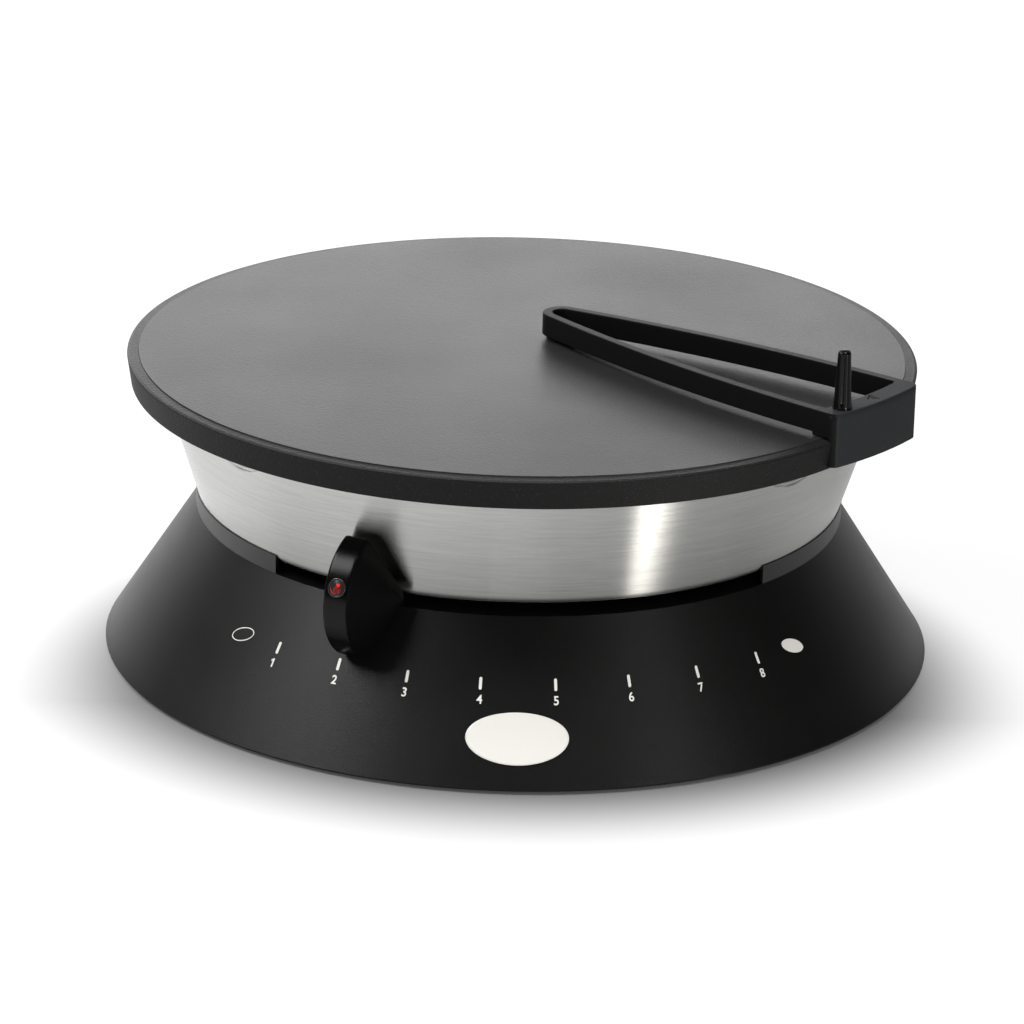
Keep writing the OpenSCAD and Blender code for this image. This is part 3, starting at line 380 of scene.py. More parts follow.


# Clear red cap: a dark body with painted red glints that glow: a patch up on its right, specks below it and
# an arc at the lower left.
def lensFinish():
    s = lens
    material, tree, principled = newMaterial("redLens")
    place = objectSpace(tree)
    fromMiddle = vectorMaths(tree, "SUBTRACT", place, s["middle"])
    across = vectorMaths(tree, "DOT_PRODUCT", fromMiddle, s["across"])
    up = vectorMaths(tree, "DOT_PRODUCT", fromMiddle, s["up"])
    spot = addNode(tree, "CombineXYZ", {0: across, 1: up}).outputs[0]
    fromPatch = vectorMaths(tree, "DISTANCE", spot, s["patchAt"])
    fromSpecks = vectorMaths(tree, "DISTANCE", spot, s["specksAt"])
    radius = vectorMaths(tree, "LENGTH", spot)
    cells = addNode(tree, "TexVoronoi", {"Vector": place, "Scale": s["speckScale"]}).outputs[0]
    rough = noise(tree, place, s["waverScale"])
    edge = times(tree, maths(tree, "SUBTRACT", rough, 0.5), s["waver"])
    glintPatch = ramp(tree, plus(tree, fromPatch, edge), *s["patchEdge"])
    glintSpecks = times(tree, ramp(tree, cells, *s["speckEdge"]), ramp(tree, fromSpecks, *s["specksEdge"]))
    lower = ramp(tree, plus(tree, across, up), *s["arcEdge"])
    arc = times(tree, ramp(tree, radius, *s["ringInner"]), ramp(tree, radius, *s["ringOuter"]), lower,
                ramp(tree, rough, *s["arcBreaks"]), s["arcWhite"])
    # The patch, specks and arc are painted glints: red in the colour and glowing.
    paintedGlints = maths(tree, "MAXIMUM", glintPatch, maths(tree, "MAXIMUM", glintSpecks, arc))
    fill(tree, principled, {
        "Base Color": mixColour(tree, paintedGlints, s["dark"], s["red"]),
        "Emission Color": mixColour(tree, paintedGlints, (0.0, 0.0, 0.0, 1), s["glow"]),
        "Emission Strength": s["glintGlowStrength"], "Roughness": s["rough"],
        "Specular IOR Level": s["specular"]})
    return material


finishes["lens_red"] = lensFinish()
for node in nodes.values():
    for place in node.material_slots:
        place.material = finishes[place.material.name.split(".")[0]]
print("finishes:", len(finishes), "on the frame's nodes")


# Steel band, in mm and degrees.
band = {
    "footRadius": 139.0, "footHeight": 69.1, "roll": 5.0, "topRadius": 159.36, "topHeight": 122.1,
    "slope": 0.32, "sheet": 0.8, "flangeRadius": 127.0, "flangeGap": 0.4,
    "neckShare": 0.8, "wallStep": 1.6, "neckStep": 0.35,
    "scoopAzimuths": (-50.0, 47.5, 180.0), "scoopHeight": 9.8, "scoopRadius": 96.0, "scoopLean": 9.0,
    "scoopReach": 0.3, "scoopBelow": 3.0, "scoopLip": 0.45, "steps": 700}


# The wall's outline at an inset: flange, an arc of the roll's radius, and the straight slope to the top.
def bandLine(inset):
    s = band
    turn = np.radians(np.linspace(-90, -math.degrees(math.atan(s["slope"])), 10))
    roll = circle(turn, s["roll"] - inset, (s["footRadius"], s["footHeight"] + s["roll"]))
    top = np.array([s["topRadius"] - inset, s["topHeight"]])
    neck = roll[-1] + (top - roll[-1]) * s["neckShare"]
    flange = np.array([[s["flangeRadius"], s["footHeight"] + inset],
                       [s["footRadius"] - s["flangeGap"], s["footHeight"] + inset]])
    return np.vstack([flange, roll, densify(roll[-1], neck, s["wallStep"])[1:],
                      densify(neck, top, s["neckStep"])[1:]])


# Radius of the scoops: a leaning cylinder's inner line plus the square of the sideways distance over its
# diameter. Where it cuts in, the wall first drops by a small lip.
def scoopedRadius(azimuth, wall, inset):
    s = band
    radius, height = wall.T
    start = s["topHeight"] - s["scoopHeight"]
    line = s["topRadius"] - s["slope"] * s["scoopHeight"] - inset
    line = line - math.tan(math.radians(s["scoopLean"])) * (height - start)
    result = radius
    for middle in s["scoopAzimuths"]:
        turn = (azimuth - math.radians(middle) + math.pi) % (2 * math.pi) - math.pi
        sideways = radius * np.sin(turn)
        scoop = (line + sideways ** 2 / (2 * s["scoopRadius"])) / np.maximum(np.cos(turn), 0.2)
        near = (np.abs(turn) < s["scoopReach"]) & (height > start - s["scoopBelow"])
        scoop = np.where(near, scoop, farAway)
        result = np.where(scoop < result, np.minimum(scoop, result - s["scoopLip"]), result)
    return result


# Two skins, the outer line and the line at the sheet's thickness, joined at the top and at the flange's edge.
def makeBand():
    azimuth = fullTurn(band["steps"]) + math.pi
    outer, inner = bandLine(0), bandLine(band["sheet"])
    innerRadius = scoopedRadius(azimuth, inner, band["sheet"])
    radius = np.hstack([scoopedRadius(azimuth, outer, 0), innerRadius[:, ::-1]])
    height = np.concatenate([outer[:, 1], inner[::-1, 1]])
    surface = gridSurface(polar(azimuth, radius, height))
    makePiece("bandShell", [surface], "appliance", "band_steel", ["steel_band"])


makeBand()
print("band made")


# Griddle plate. Each boss: azimuth, radius and lower end.
griddle = {
    "radius": 175.0, "top": 136.2, "bottom": 122.8, "under": 127.3, "taper": 1.8, "discRadius": 169.8,
    "seam": 0.2, "step": 0.4, "fall": 0.35, "ringIn": 1.1, "ringDrop": 0.65, "skirt": 7.0, "skirtSlant": 2.0,
    "overlap": 3.0, "buried": 2.0, "paintedDown": 0.5, "discRings": (0, 40, 100, 150), "steps": 360,
    "bossRing": 112.5, "bossBore": 2.6, "bossTop": 127.6,
    "bosses": (
        (60, 9, 123.8), (180, 9, 123.8), (300, 9, 123.8), (120, 7, 120.6), (240, 7, 120.6), (15, 7, 120.6))}


# The plate's half sections: the disc with its bosses, and the rim with a fine step, a ring that falls
# outwards, a tapered edge and a skirt.
def makeGriddle():
    g = griddle
    radius, top, disc, under, bottom = g["radius"], g["top"], g["discRadius"], g["under"], g["bottom"]
    foot = radius - g["taper"]
    seam = disc + g["seam"]
    edge = top - g["step"] - g["fall"]
    corners = [
        (seam - g["overlap"], top - g["buried"], 0), (seam, top - g["step"], 0.1),
        (radius - g["ringIn"], edge + 0.02, 0.12), (radius, edge - g["ringDrop"], 0.5), (foot, bottom, 0.7),
        (foot - g["skirt"], bottom, 0.4), (foot - g["skirt"] - g["skirtSlant"], under, 0.8),
        (seam - g["overlap"], under, 0)]
    ring = roundCorners([c[:2] for c in corners], [c[2] for c in corners], steps=5)
    rim = makePiece("griddleRim", [lathe(ring, g["steps"])], "appliance", "plate_coating",
                    look=finishes["rim_coating"])
    repaint(rim, finishes["ring_coating"], lambda at, normal: at[:, 2] > edge - g["paintedDown"])
    face = roundCorners([(disc - 1.5, top), (disc, top), (seam, top - g["step"] - 0.3)], [0, 0.12, 0],
                        steps=5, closed=False)
    line = np.vstack([[(r, top) for r in g["discRings"]], face,
                      [(r, under) for r in (seam, 150, 100, 0)]])
    surfaces = [lathe(line, g["steps"], poles=True)]
    for azimuth, size, low in g["bosses"]:
        bore, high = g["bossBore"], g["bossTop"]
        boss = roundCorners([(bore, low), (size, low), (size, high), (bore, high)], [0.2, 0.5, 0, 0])
        centre = polar(math.radians(azimuth), g["bossRing"], 0.0)
        surfaces.append(lathe(boss, 40, centre=centre[:2]))
    makePiece("griddleDisc", surfaces, "appliance", "plate_coating", ["griddle_plate"])


makeGriddle()
print("griddle made")


# The base's cone, the printed scale and the badge.
flare = {"rimRadius": 185.0, "rimHeight": 2.2, "shoulderRadius": 144.5, "shoulderHeight": 64.5}
scale = {
    "step": 11.3, "tickHeight": 39.9, "tickWidth": 1.25, "tickLength": 5.4, "numberHeight": 34.2,
    "numberSize": 5.4, "numberNarrow": 0.92, "numberBold": 0.1, "endAzimuth": 47.4, "ovalWidth": 12.6,
    "ovalHeight": 6.2, "ovalTurn": 20.0, "ovalLine": 0.4, "ink": 0.07, "root": 0.1,
    "oneWidth": 0.72, "oneHeight": 4.0, "flagLength": 1.9, "flagWidth": 0.85, "flagTurn": -48.0}
badge = {
    "width": 43.6, "height": 22.6, "middle": 20.4, "thick": 0.7, "crown": 0.1,
    "edgeFrom": 0.955, "edgeDrop": 0.3}


# Lays flat shapes on the base's cone: x runs round it, y up its slope, and lift along its normal.
def onFlare(azimuth, height, x, y, lift):
    slope = (flare["rimRadius"] - flare["shoulderRadius"]) / (flare["shoulderHeight"] - flare["rimHeight"])
    tilt = math.atan(slope)
    radius = flare["rimRadius"] - slope * (height - flare["rimHeight"])
    ring = radius - y * math.sin(tilt)
    rise = y * math.cos(tilt) + lift * math.sin(tilt)
    return polar(azimuth + x / ring, ring + lift * math.cos(tilt), height + rise)


# A flat closed plate over an outline: rings shrink to its middle on both faces. A ring is a share and a lift.
def plateOver(outline, rings, azimuth, height):
    rings = np.array(rings)
    middle = outline.mean(axis=0)
    x, y = (middle[k] + (outline[:, k, None] - middle[k]) * rings[:, 0] for k in (0, 1))
    return gridSurface(onFlare(azimuth, height, x, y, rings[:, 1] + 0 * x), poles=True)


# An oval from half its width by the cosine and half its height by the sine, turned by degrees.
def ovalOutline(width, height, count=64, turn=0.0):
    t = np.linspace(0, 2 * math.pi, count, endpoint=False)
    x, y = width / 2 * np.cos(t), height / 2 * np.sin(t)
    c, s = math.cos(math.radians(turn)), math.sin(math.radians(turn))
    return np.stack([x * c - y * s, x * s + y * c], -1)


# A round-ended bar: half circles at both ends of a straight.
def barOutline(width, length, count=12):
    t = np.linspace(0, math.pi, count)
    top = circle(t, width / 2, (0, (length - width) / 2))
    return np.vstack([top, -top])


# The azimuth of a number's mark, with the scale's middle between 4 and 5.
def markAzimuth(number):
    return math.radians((number - 4.5) * scale["step"])


inkRings = [(0, scale["ink"]), (1, scale["ink"]), (1, -scale["root"]), (0, -scale["root"])]


# The numeral 1: an upright bar, and a short one that leans down to the left from its top.
def numeralOne():
    s = scale
    stem = barOutline(s["oneWidth"], s["oneHeight"])
    flag = barOutline(s["oneWidth"] * s["flagWidth"], s["flagLength"])
    a = math.radians(s["flagTurn"])
    flag = flag @ np.array([[math.cos(a), math.sin(a)], [-math.sin(a), math.cos(a)]])
    flag = flag + [s["oneWidth"] / 2 - flag[:, 0].max(), stem[:, 1].max() - flag[:, 1].max()]
    return [plateOver(line, inkRings, markAzimuth(1), s["numberHeight"]) for line in (stem, flag)]


# Eight bars, the numeral 1, a filled oval at the high end and at the low end an oval line: the outline at two
# insets, above and below.
def makeTicks():
    s = scale
    bar = barOutline(s["tickWidth"], s["tickLength"])
    surfaces = [plateOver(bar, inkRings, markAzimuth(k), s["tickHeight"]) for k in range(1, 9)]
    dot = ovalOutline(s["ovalWidth"], s["ovalHeight"], turn=-s["ovalTurn"])
    surfaces.append(plateOver(dot, inkRings, math.radians(s["endAzimuth"]), s["tickHeight"]))
    surfaces += numeralOne()
    insets = np.array([0, s["ovalLine"], s["ovalLine"], 0])
    lifts = np.array([s["ink"], s["ink"], -s["root"], -s["root"]])
    outlines = np.stack([ovalOutline(s["ovalWidth"] - 2 * inset, s["ovalHeight"] - 2 * inset,
                                     turn=s["ovalTurn"]) for inset in insets], 1)
    x, y = outlines[..., 0], outlines[..., 1]
    ring = onFlare(math.radians(-s["endAzimuth"]), s["tickHeight"], x, y, lifts[None] + 0 * x)
    surfaces.append(gridSurface(ring))
    makePiece("scaleMarks", surfaces, "appliance", "badge_face", look=printWhite, smooth=False)


# The numerals from 2 on: filled outlines, narrowed a little and laid on the cone by x, y and their thickness.
def makeNumbers():
    s = scale
    verts, faces = [], []
    start = 0
    for k in range(2, 9):
        curve = bpy.data.curves.new("numeral", "FONT")
        curve.body = str(k)
        curve.size = s["numberSize"]
        curve.extrude = (s["ink"] + s["root"]) / 2
        curve.offset = s["numberBold"]
        curve.resolution_u = 6
        holder = addObject("numeral", curve)
        bpy.context.view_layer.update()
        shape = bpy.data.meshes.new_from_object(holder.evaluated_get(bpy.context.evaluated_depsgraph_get()))
        flat = np.empty(len(shape.vertices) * 3)
        shape.vertices.foreach_get("co", flat)
        flat = flat.reshape(-1, 3)
        flat = flat - (flat.min(axis=0) + flat.max(axis=0)) / 2
        lift = flat[:, 2] + (s["ink"] - s["root"]) / 2
        x = flat[:, 0] * s["numberNarrow"]
        verts.append(onFlare(markAzimuth(k), s["numberHeight"], x, flat[:, 1], lift) * mm)
        faces += [[i + start for i in polygon.vertices] for polygon in shape.polygons]
        start += len(flat)
        bpy.data.objects.remove(holder)
        bpy.data.curves.remove(curve)
        bpy.data.meshes.remove(shape)
    mesh = bpy.data.meshes.new("scaleNumbers")
    mesh.from_pydata(np.vstack(verts).tolist(), [], faces)
    mesh.materials.append(printWhite)
    piece = addObject("scaleNumbers", mesh)
    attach(piece, "appliance")


# The badge is an oval plate whose face is crowned: its height falls with the square of the distance out, and
# near the edge once more with the square.
def makeBadge():
    t = np.concatenate([np.linspace(0, 0.94, 8), [0.965, 0.985, 0.996, 1.0]])
    edge = np.clip((t - badge["edgeFrom"]) / (1 - badge["edgeFrom"]), 0, 1)
    face = badge["thick"] + badge["crown"] * (1 - t ** 2) - badge["edgeDrop"] * edge ** 2
    rings = list(zip(t, face)) + [(1.0, 0.06), (0.6, 0.05), (0, 0.05)]
    surface = plateOver(ovalOutline(badge["width"], badge["height"], 96), rings, 0.0, badge["middle"])
    makePiece("badgeOval", [surface], "appliance", "badge_face", ["badge_plate"])


makeTicks()
makeNumbers()
makeBadge()
print("scale and badge made")


# Lever knob and lamp. The eye is a point inside the knob.
lever = {
    "azimuth": -26.0, "centre": (149.0, 70.5), "radius": 28.0, "face": 11.0, "root": 37.0, "gapRadius": 147.6,
    "backLow": (68.1, 0.5), "backHigh": (72.1, 0.35), "eye": (160.0, 70.3), "softness": 46, "shadedBelow": 21.0,
    "lampTilt": 21.0, "lensRadius": 3.3, "lensRise": 0.7, "lensCrown": 0.62, "lensDepth": 4.4,
    "bezelRadius": 4.1, "bezelGap": 0.06, "bezelDepth": 1.5, "bezelRise": (0.38, 0.32)}


# Turns points about the vertical axis, from x to an azimuth: x cos less y sin, and x sin plus y cos.
def turned(points, azimuth):
    angle = math.radians(azimuth - 90)
    c, s = math.cos(angle), math.sin(angle)
    x, y = points[..., 0], points[..., 1]
    return np.stack([x * c - y * s, x * s + y * c, points[..., 2]], -1)


# The knob is a wheel with cone sides, cut by the planes that clear the band and the flare. From the eye each
# direction meets each of those surfaces at a distance, and the skin lies at the soft least one.
def makeKnob():
    s = lever
    turn = fullTurn(360)
    tip = np.linspace(0, math.pi, 221)[None]
    dx, dy, dz = np.cos(turn) * np.sin(tip), -np.cos(tip) + 0 * turn, np.sin(turn) * np.sin(tip)
    ex, ez = s["eye"]
    ox, oz = ex - s["centre"][0], ez - s["centre"][1]
    across = dx ** 2 + dz ** 2 + tiny
    along = ox * dx + oz * dz
    rim = (-along + np.sqrt(along ** 2 - across * (ox ** 2 + oz ** 2 - s["radius"] ** 2))) / across
    distances = [rim]
    half = s["root"] / 2
    taper = (s["root"] - s["face"]) / 2 / s["radius"]
    for side in (-1, 1):
        a = (side * dy) ** 2 - taper ** 2 * across
        b = -2 * half * side * dy - 2 * taper ** 2 * along
        c = half ** 2 - taper ** 2 * (ox ** 2 + oz ** 2)
        root = np.sqrt(np.maximum(b * b - 4 * a * c, 0))
        a = np.where(np.abs(a) < tiny, tiny, a)
        options = np.stack([(-b - root) / (2 * a), (-b + root) / (2 * a)])
        valid = (options > 0) & (half - side * options * dy > 0)
        distances.append(np.where(valid, options, farAway).min(axis=0))
    for (height, slope), side in ((s["backLow"], -1), (s["backHigh"], 1)):
        gap = ex - s["gapRadius"] - slope * side * (ez - height)
        speed = -(dx - slope * side * dz)
        distances.append(np.where(speed > small, gap / np.maximum(speed, small), farAway))
    distances.append(np.where(dx < -small, (ex - s["gapRadius"]) / np.maximum(-dx, small), farAway))
    soft = s["softness"]
    reach = sum(np.maximum(d, 1e-3) ** -soft for d in distances) ** (-1 / soft)
    points = np.stack([ex + reach * dx, reach * dy, ez + reach * dz], -1)
    surface = gridSurface(turned(points, s["azimuth"]), poles=True)
    knob = makePiece("leverKnob", [surface], "lever", "knob_plastic", ["lever_knob"])
    a = math.radians(s["azimuth"])
    sideways = np.array([math.cos(a), math.sin(a), 0.0])
    # Painted shade: the sides and the rim low down take the glossless copy of the knob plastic.
    repaint(knob, finishes["knob_side"], lambda at, normal: (np.abs(normal @ sideways) > 0.5) | (
        at[:, 2] < s["centre"][1] - s["shadedBelow"]))


# Turns a profile of radius and height about the lamp's axis, which points out of the knob's rim.
def aboutLamp(profile, steps, poles=False):
    turn = fullTurn(steps)
    radius, w = profile[None, :, 0], profile[None, :, 1] + 0 * turn
    u, v = radius * np.cos(turn), radius * np.sin(turn)
    tilt = math.radians(lever["lampTilt"])
    x = lever["centre"][0] + w * math.cos(tilt) - u * math.sin(tilt)
    z = lever["centre"][1] + w * math.sin(tilt) + u * math.cos(tilt)
    return gridSurface(turned(np.stack([x, v, z], -1), lever["azimuth"]), poles)


# The lens is a dome that falls with the square of the radius, on a short barrel; the bezel is a rounded ring.
def makeLamp():
    s = lever
    base, r, bezel = s["radius"], s["lensRadius"], s["bezelRadius"]
    t = np.linspace(0, 1, 14)
    dome = np.stack([r * t, base + s["lensRise"] - s["lensCrown"] * t ** 2], -1)
    back = base - s["lensDepth"]
    line = np.vstack([dome, [[r, base - 1.0], [r, back], [0, back]]])
    makePiece("lampLens", [aboutLamp(line, 48, poles=True)], "lever", "lens_red", ["lamp_lens"])
    inner, foot = r + s["bezelGap"], base - s["bezelDepth"]
    riseIn, riseOut = s["bezelRise"]
    ring = roundCorners([(inner, foot), (inner, base + riseIn), (bezel, base + riseOut), (bezel, foot)],
                        [0, 0.25, 0.35, 0])
    makePiece("lampBezel", [aboutLamp(ring, 64)], "lever", "bezel_plastic", ["lamp_bezel"])


makeKnob()
makeLamp()
print("lever made")


# Batter spreader: u runs out along it and v across it. A groove's rows are depths below the top and inwards.
spreader = {
    "azimuth": 49.4, "slip": 25.2, "halfWidth": 29.5, "bow": 769.9, "bowEnd": 177.0, "apexU": 2.0,
    "apexRadius": 9.1, "bar": 4.4, "low": 138.0, "high": 148.0, "blockRadius": 179.2, "blockInner": 169.3,
    "skirtLow": 124.0, "skirtInner": 177.6, "skirtShare": 0.55, "edge": 0.5, "corner": 3.8,
    "innerCorner": 2.0, "grooves": ((1.15, 0.0), (1.05, 0.3), (0.65, 0.3), (0.55, 0.0)),
    "arrow": ((170.1, 3.0), (173.3, -3.1), (177.1, 1.8)), "arrowDepth": 0.5, "arrowSlope": 0.25,
    "padLow": 136.55, "padRise": 0.6, "padFrom": 164.3, "padTo": 174.6, "padInset": 0.25, "padWidth": 8.5,
    "noseTurn": (96, 264), "noseInset": 1.7, "noseWidth": 2.6, "noseEnds": ((13.8, -7.9), (13.8, -5.3))}


# Half of the closed outline at an inset: block face arc, corner arc, long bowed arm, small apex arc.
def halfOutline(inset, corner, face):
    s = spreader
    half = s["halfWidth"] - inset
    bowV = s["bow"] - s["halfWidth"]
    cornerU = math.sqrt((face - corner) ** 2 - (half - corner) ** 2)
    cornerAngle = math.atan2(half - corner, cornerU)
    armAngle = math.pi / 2 + math.asin((s["bowEnd"] - cornerU) / (s["bow"] - inset))
    apexAngle = math.atan2(bowV, s["apexU"] - s["bowEnd"])
    arcs = [((0, 0), face, 0, cornerAngle,
             np.concatenate([np.linspace(0, 0.14, 22), np.linspace(0.2, 1, 12)])),
            ((cornerU, half - corner), corner, cornerAngle, math.pi / 2, np.linspace(0, 1, 9)[1:]),
            ((s["bowEnd"], -bowV), s["bow"] - inset, armAngle, apexAngle,
             np.concatenate([[0.0008], np.linspace(0.01, 0.99, 50)])),
            ((s["apexU"], 0), s["apexRadius"] - inset, apexAngle, math.pi, np.linspace(0, 1, 12))]
    parts = []
    for centre, radius, start, end, t in arcs:
        parts.append(circle(start + (end - start) * t, radius, centre))
    return np.vstack(parts), len(arcs[0][4]) + len(arcs[1][4])


# The half outline and its mirror image across v, without a second copy of its two end points.
def mirrored(half):
    other = half[-2:0:-1] * np.array([1, -1])
    return np.vstack([half, other])


# From the spreader's own directions: v is moved by the slip, then both are turned to its azimuth.
def onSpreader(u, v, z):
    return turned(np.stack([u, v + spreader["slip"], z], -1), spreader["azimuth"])


# The block's top and outer face, which take a coarser, paler plastic whose paleness is partly painted light:
# further out than its inner face, and short of its ends.
def isBlockFace(at, normal):
    a = math.radians(spreader["azimuth"])
    u = at[:, 0] * math.sin(a) - at[:, 1] * math.cos(a)
    v = at[:, 0] * math.cos(a) + at[:, 1] * math.sin(a) - spreader["slip"]
    return (np.hypot(u, v) > spreader["blockInner"] - 0.1) & (abs(v) < spreader["halfWidth"] - 1.2)


# The frame is one ring: a rounded section is carried round between the outer and inner outlines, and at the
# block it grows a skirt downwards behind the outer face. The arrow is sunk inside all three of its sides.
def makeSpreaderFrame():
    s = spreader
    outer, blockCount = halfOutline(0, s["corner"], s["blockRadius"])
    inner, _ = halfOutline(s["bar"], s["innerCorner"], s["blockInner"])
    outer, inner = mirrored(outer), mirrored(inner)
    place = np.arange(len(outer))
    isBlock = (place < blockCount) | (place > len(outer) - blockCount)
    width = np.linalg.norm(inner - outer, axis=1)
    e = s["edge"]
    easing = e * (1 - circle(np.radians(np.linspace(0, 90, 5))))
    low = np.where(isBlock, s["skirtLow"], s["low"])
    skirt = s["blockRadius"] - s["skirtInner"]
    skirtWidth = np.where(isBlock, skirt, np.minimum(skirt, width * s["skirtShare"]))
    columns = []

    def column(a, z):
        columns.append((a + 0 * width, z + 0 * width))

    for across, along in easing[::-1]:
        column(across, low + along)
    for z in np.linspace(0.15, 0.85, 5):
        column(0, low + (s["high"] - low) * z)
    for down, depth in s["grooves"]:
        column(np.where(isBlock, depth, 0), s["high"] - down)
    for across, along in easing:
        column(across, s["high"] - along)
    for t in np.linspace(0, 1, 42)[1:-1]:
        column(e + (width - 2 * e) * t, s["high"])
    for across, along in easing[::-1]:
        column(width - across, s["high"] - along)
    for z in np.linspace(0.85, 0.15, 4):
        column(width, s["low"] + (s["high"] - s["low"]) * z)
    for across, along in easing:
        column(width - across, s["low"] + along)
    column(skirtWidth + (width - skirtWidth) * 0.5, s["low"])
    column(skirtWidth + 0.4, s["low"])
    column(skirtWidth, np.where(isBlock, s["low"] - 0.4, s["low"]))
    for back, rise in ((0, 1.0), (0.1, 0.4), (e, 0)):
        column(skirtWidth - back, np.where(isBlock, s["skirtLow"] + rise, s["low"]))
    a, z = (np.stack(values, -1) for values in zip(*columns))
    step = (inner - outer) / width[:, None]
    u = outer[:, None, 0] + step[:, None, 0] * a
    v = outer[:, None, 1] + step[:, None, 1] * a
    sunk = (np.abs(z - s["high"]) < small).astype(float)
    for (u0, v0), (u1, v1) in zip(s["arrow"], s["arrow"][1:] + s["arrow"][:1]):
        inside = ((u1 - u0) * (v - v0) - (v1 - v0) * (u - u0)) / math.hypot(u1 - u0, v1 - v0)
        sunk = sunk * np.clip(inside / s["arrowSlope"], 0, 1)
    z = z - s["arrowDepth"] * sunk
    surfaces = [gridSurface(onSpreader(u, v, z))] + spreaderPads()
    piece = makePiece("spreaderFrame", surfaces, "spreader", "spreader_plastic", ["spreader_frame"])
    # The block's top and outer face take the coarser, paler block plastic; part of that paleness is painted
    # light.
    repaint(piece, finishes["block_plastic"], isBlockFace)


# The glide pads under the arms' ends and the apex foot: rounded blocks that run up into the arms. A pad's
# outer edge follows the arm's bow: the root of its radius squared less the distance to its end squared.
def spreaderPads():
    s = spreader
    low, high = s["padLow"], s["low"] + s["padRise"]
    surfaces = []
    bowV = s["bow"] - s["halfWidth"]
    u = np.linspace(s["padFrom"], s["padTo"], 12)
    edge = np.sqrt((s["bow"] - s["padInset"]) ** 2 - np.minimum(u - s["bowEnd"], 0) ** 2) - bowV
    line = np.vstack([np.stack([u, edge], -1), np.stack([u, edge - s["padWidth"]], -1)[::-1]])
    for side in (-1, 1):
        pad = roundCorners(line * [1, side], [0.6] + [0] * 10 + [0.4, 0.4] + [0] * 10 + [0.6], 3)
        surfaces.append(slab(pad, low, high))
    t = np.radians(np.linspace(*s["noseTurn"], 24))
    radius = s["apexRadius"] - s["noseInset"]
    nose = circle(t, radius, (s["apexU"], 0))
    back = circle(t[::-1], radius - s["noseWidth"], (s["apexU"], 0))
    ends = np.array(s["noseEnds"])
    surfaces.append(slab(np.vstack([nose, ends, back, ends[::-1] * [1, -1]]), low, high))
    return surfaces


# A slab over a closed outline: bottom edge eased, walls straight, both faces closed to a middle line.
def slab(line, low, high):
    middle = line.mean(axis=0)
    rows = [(0.0, low), (0.9, low), (0.97, low + 0.05), (1.0, low + 0.3), (1.0, high), (0.0, high)]
    share, z = np.array(rows).T
    u, v = (middle[k] + (line[:, k, None] - middle[k]) * share for k in (0, 1))
    return gridSurface(onSpreader(u, v, z + 0 * u), poles=True)


peg = {
    "u": 172.5, "v": -19.5, "base": 4.1, "tip": 2.95, "shaft": 24.2, "dome": 1.6, "plug": 2.5, "fillet": 0.3,
    "filletTop": 0.8, "groove": 0.6, "grooveWidth": 0.2, "grooveFrom": 1.4, "grooveFade": 1.5, "turn": 35.0}


# The peg's radius falls evenly with height to a domed top, less four grooves, each a bell curve of the turn.
def makePeg():
    s = peg
    shaft, rise, grooveFrom = s["shaft"], s["dome"], s["grooveFrom"]
    turn = fullTurn(120)
    h = np.concatenate([[-6.0, -5.9, -0.02, 0.0, 0.15, 0.4, 0.8], np.linspace(grooveFrom, shaft - 0.8, 26),
                        shaft + rise * np.sin(np.radians(np.linspace(0, 90, 12)))])[None]
    body = s["base"] + (s["tip"] - s["base"]) * np.clip(h, 0, shaft) / shaft
    body = body + s["fillet"] * np.clip(1 - h / s["filletTop"], 0, 1) ** 2
    dome = np.sqrt(np.clip(1 - (np.clip(h - shaft, 0, rise) / rise) ** 2, 0, 1))
    body = np.where(h < -0.01, s["plug"], body * dome)
    quarter = (turn - math.radians(s["turn"]) + math.pi / 4) % (math.pi / 2) - math.pi / 4
    groove = np.exp(-(quarter / s["grooveWidth"]) ** 2)
    fade = np.clip((h - grooveFrom) / s["grooveFade"], 0, 1)
    body = np.maximum(body - s["groove"] * groove * fade * dome ** 0.25, 0)
    body = np.insert(body, 0, 0, axis=1)  # the pole that closes the foot
    u = s["u"] + body * np.cos(turn)
    v = s["v"] + body * np.sin(turn)
    z = spreader["high"] + np.insert(h, 0, h[0, 0], axis=1) + 0 * turn
    surface = gridSurface(onSpreader(u, v, z), poles=True)
    makePiece("spreaderPeg", [surface], "spreader", "peg_plastic", ["spreader_peg"])


makeSpreaderFrame()
makePeg()
print("spreader made")


# Floor, light and camera. A ramp's four numbers are where it starts and ends, and its values there.
studio = {
    # The glow edge and glow back ramps paint a soft shadow round the base, the shine ramps paint shade into
    # what gloss sees of the floor, and the streak is a painted reflection on the steel.
    "floorSize": 6.0, "floorGrey": 0.17, "floorDrift": 0.01, "floorGlow": 0.86, "paintedShadowEdge": (0.172, 0.252),
    "paintedShadowBack": (-0.09, 0.1, 0.0, 0.055), "farWhite": (0.5, 1.2, 1.0, 1.17),
    "reflectedShadeAcross": (-0.15, 0.3, 1.24, 0.496), "reflectedShadeBack": (-0.05, 0.3, 1.0, 0.72),
    "streakFrom": (0.057, -0.134, 0), "streakTurn": 44.6, "streakEdge": (0.1785, 0.0525), "streakWhite": 3.7,
    "streakTint": (1, 0.975, 0.925, 1),
    "soft": 0.08, "frontGrey": 0.015, "sideWhite": 0.46, "backWhite": 1.75, "sideRamp": (0.42, 0.85),
    "boxNear": (0.75, 0.9), "boxLow": (0.08, 0.2), "boxHigh": (0.22, 0.46, 1.35, 0.5),
    "boxAcross": (-0.5, 0.5, 1.7, 0.3)}


# What kind of ray looks: the camera's, one off a gloss, or one off a gloss or through glass.
def rayKinds(tree):
    path = addNode(tree, "LightPath").outputs
    gloss = path["Is Glossy Ray"]
    return path["Is Camera Ray"], gloss, maths(tree, "MAXIMUM", gloss, path["Is Transmission Ray"])
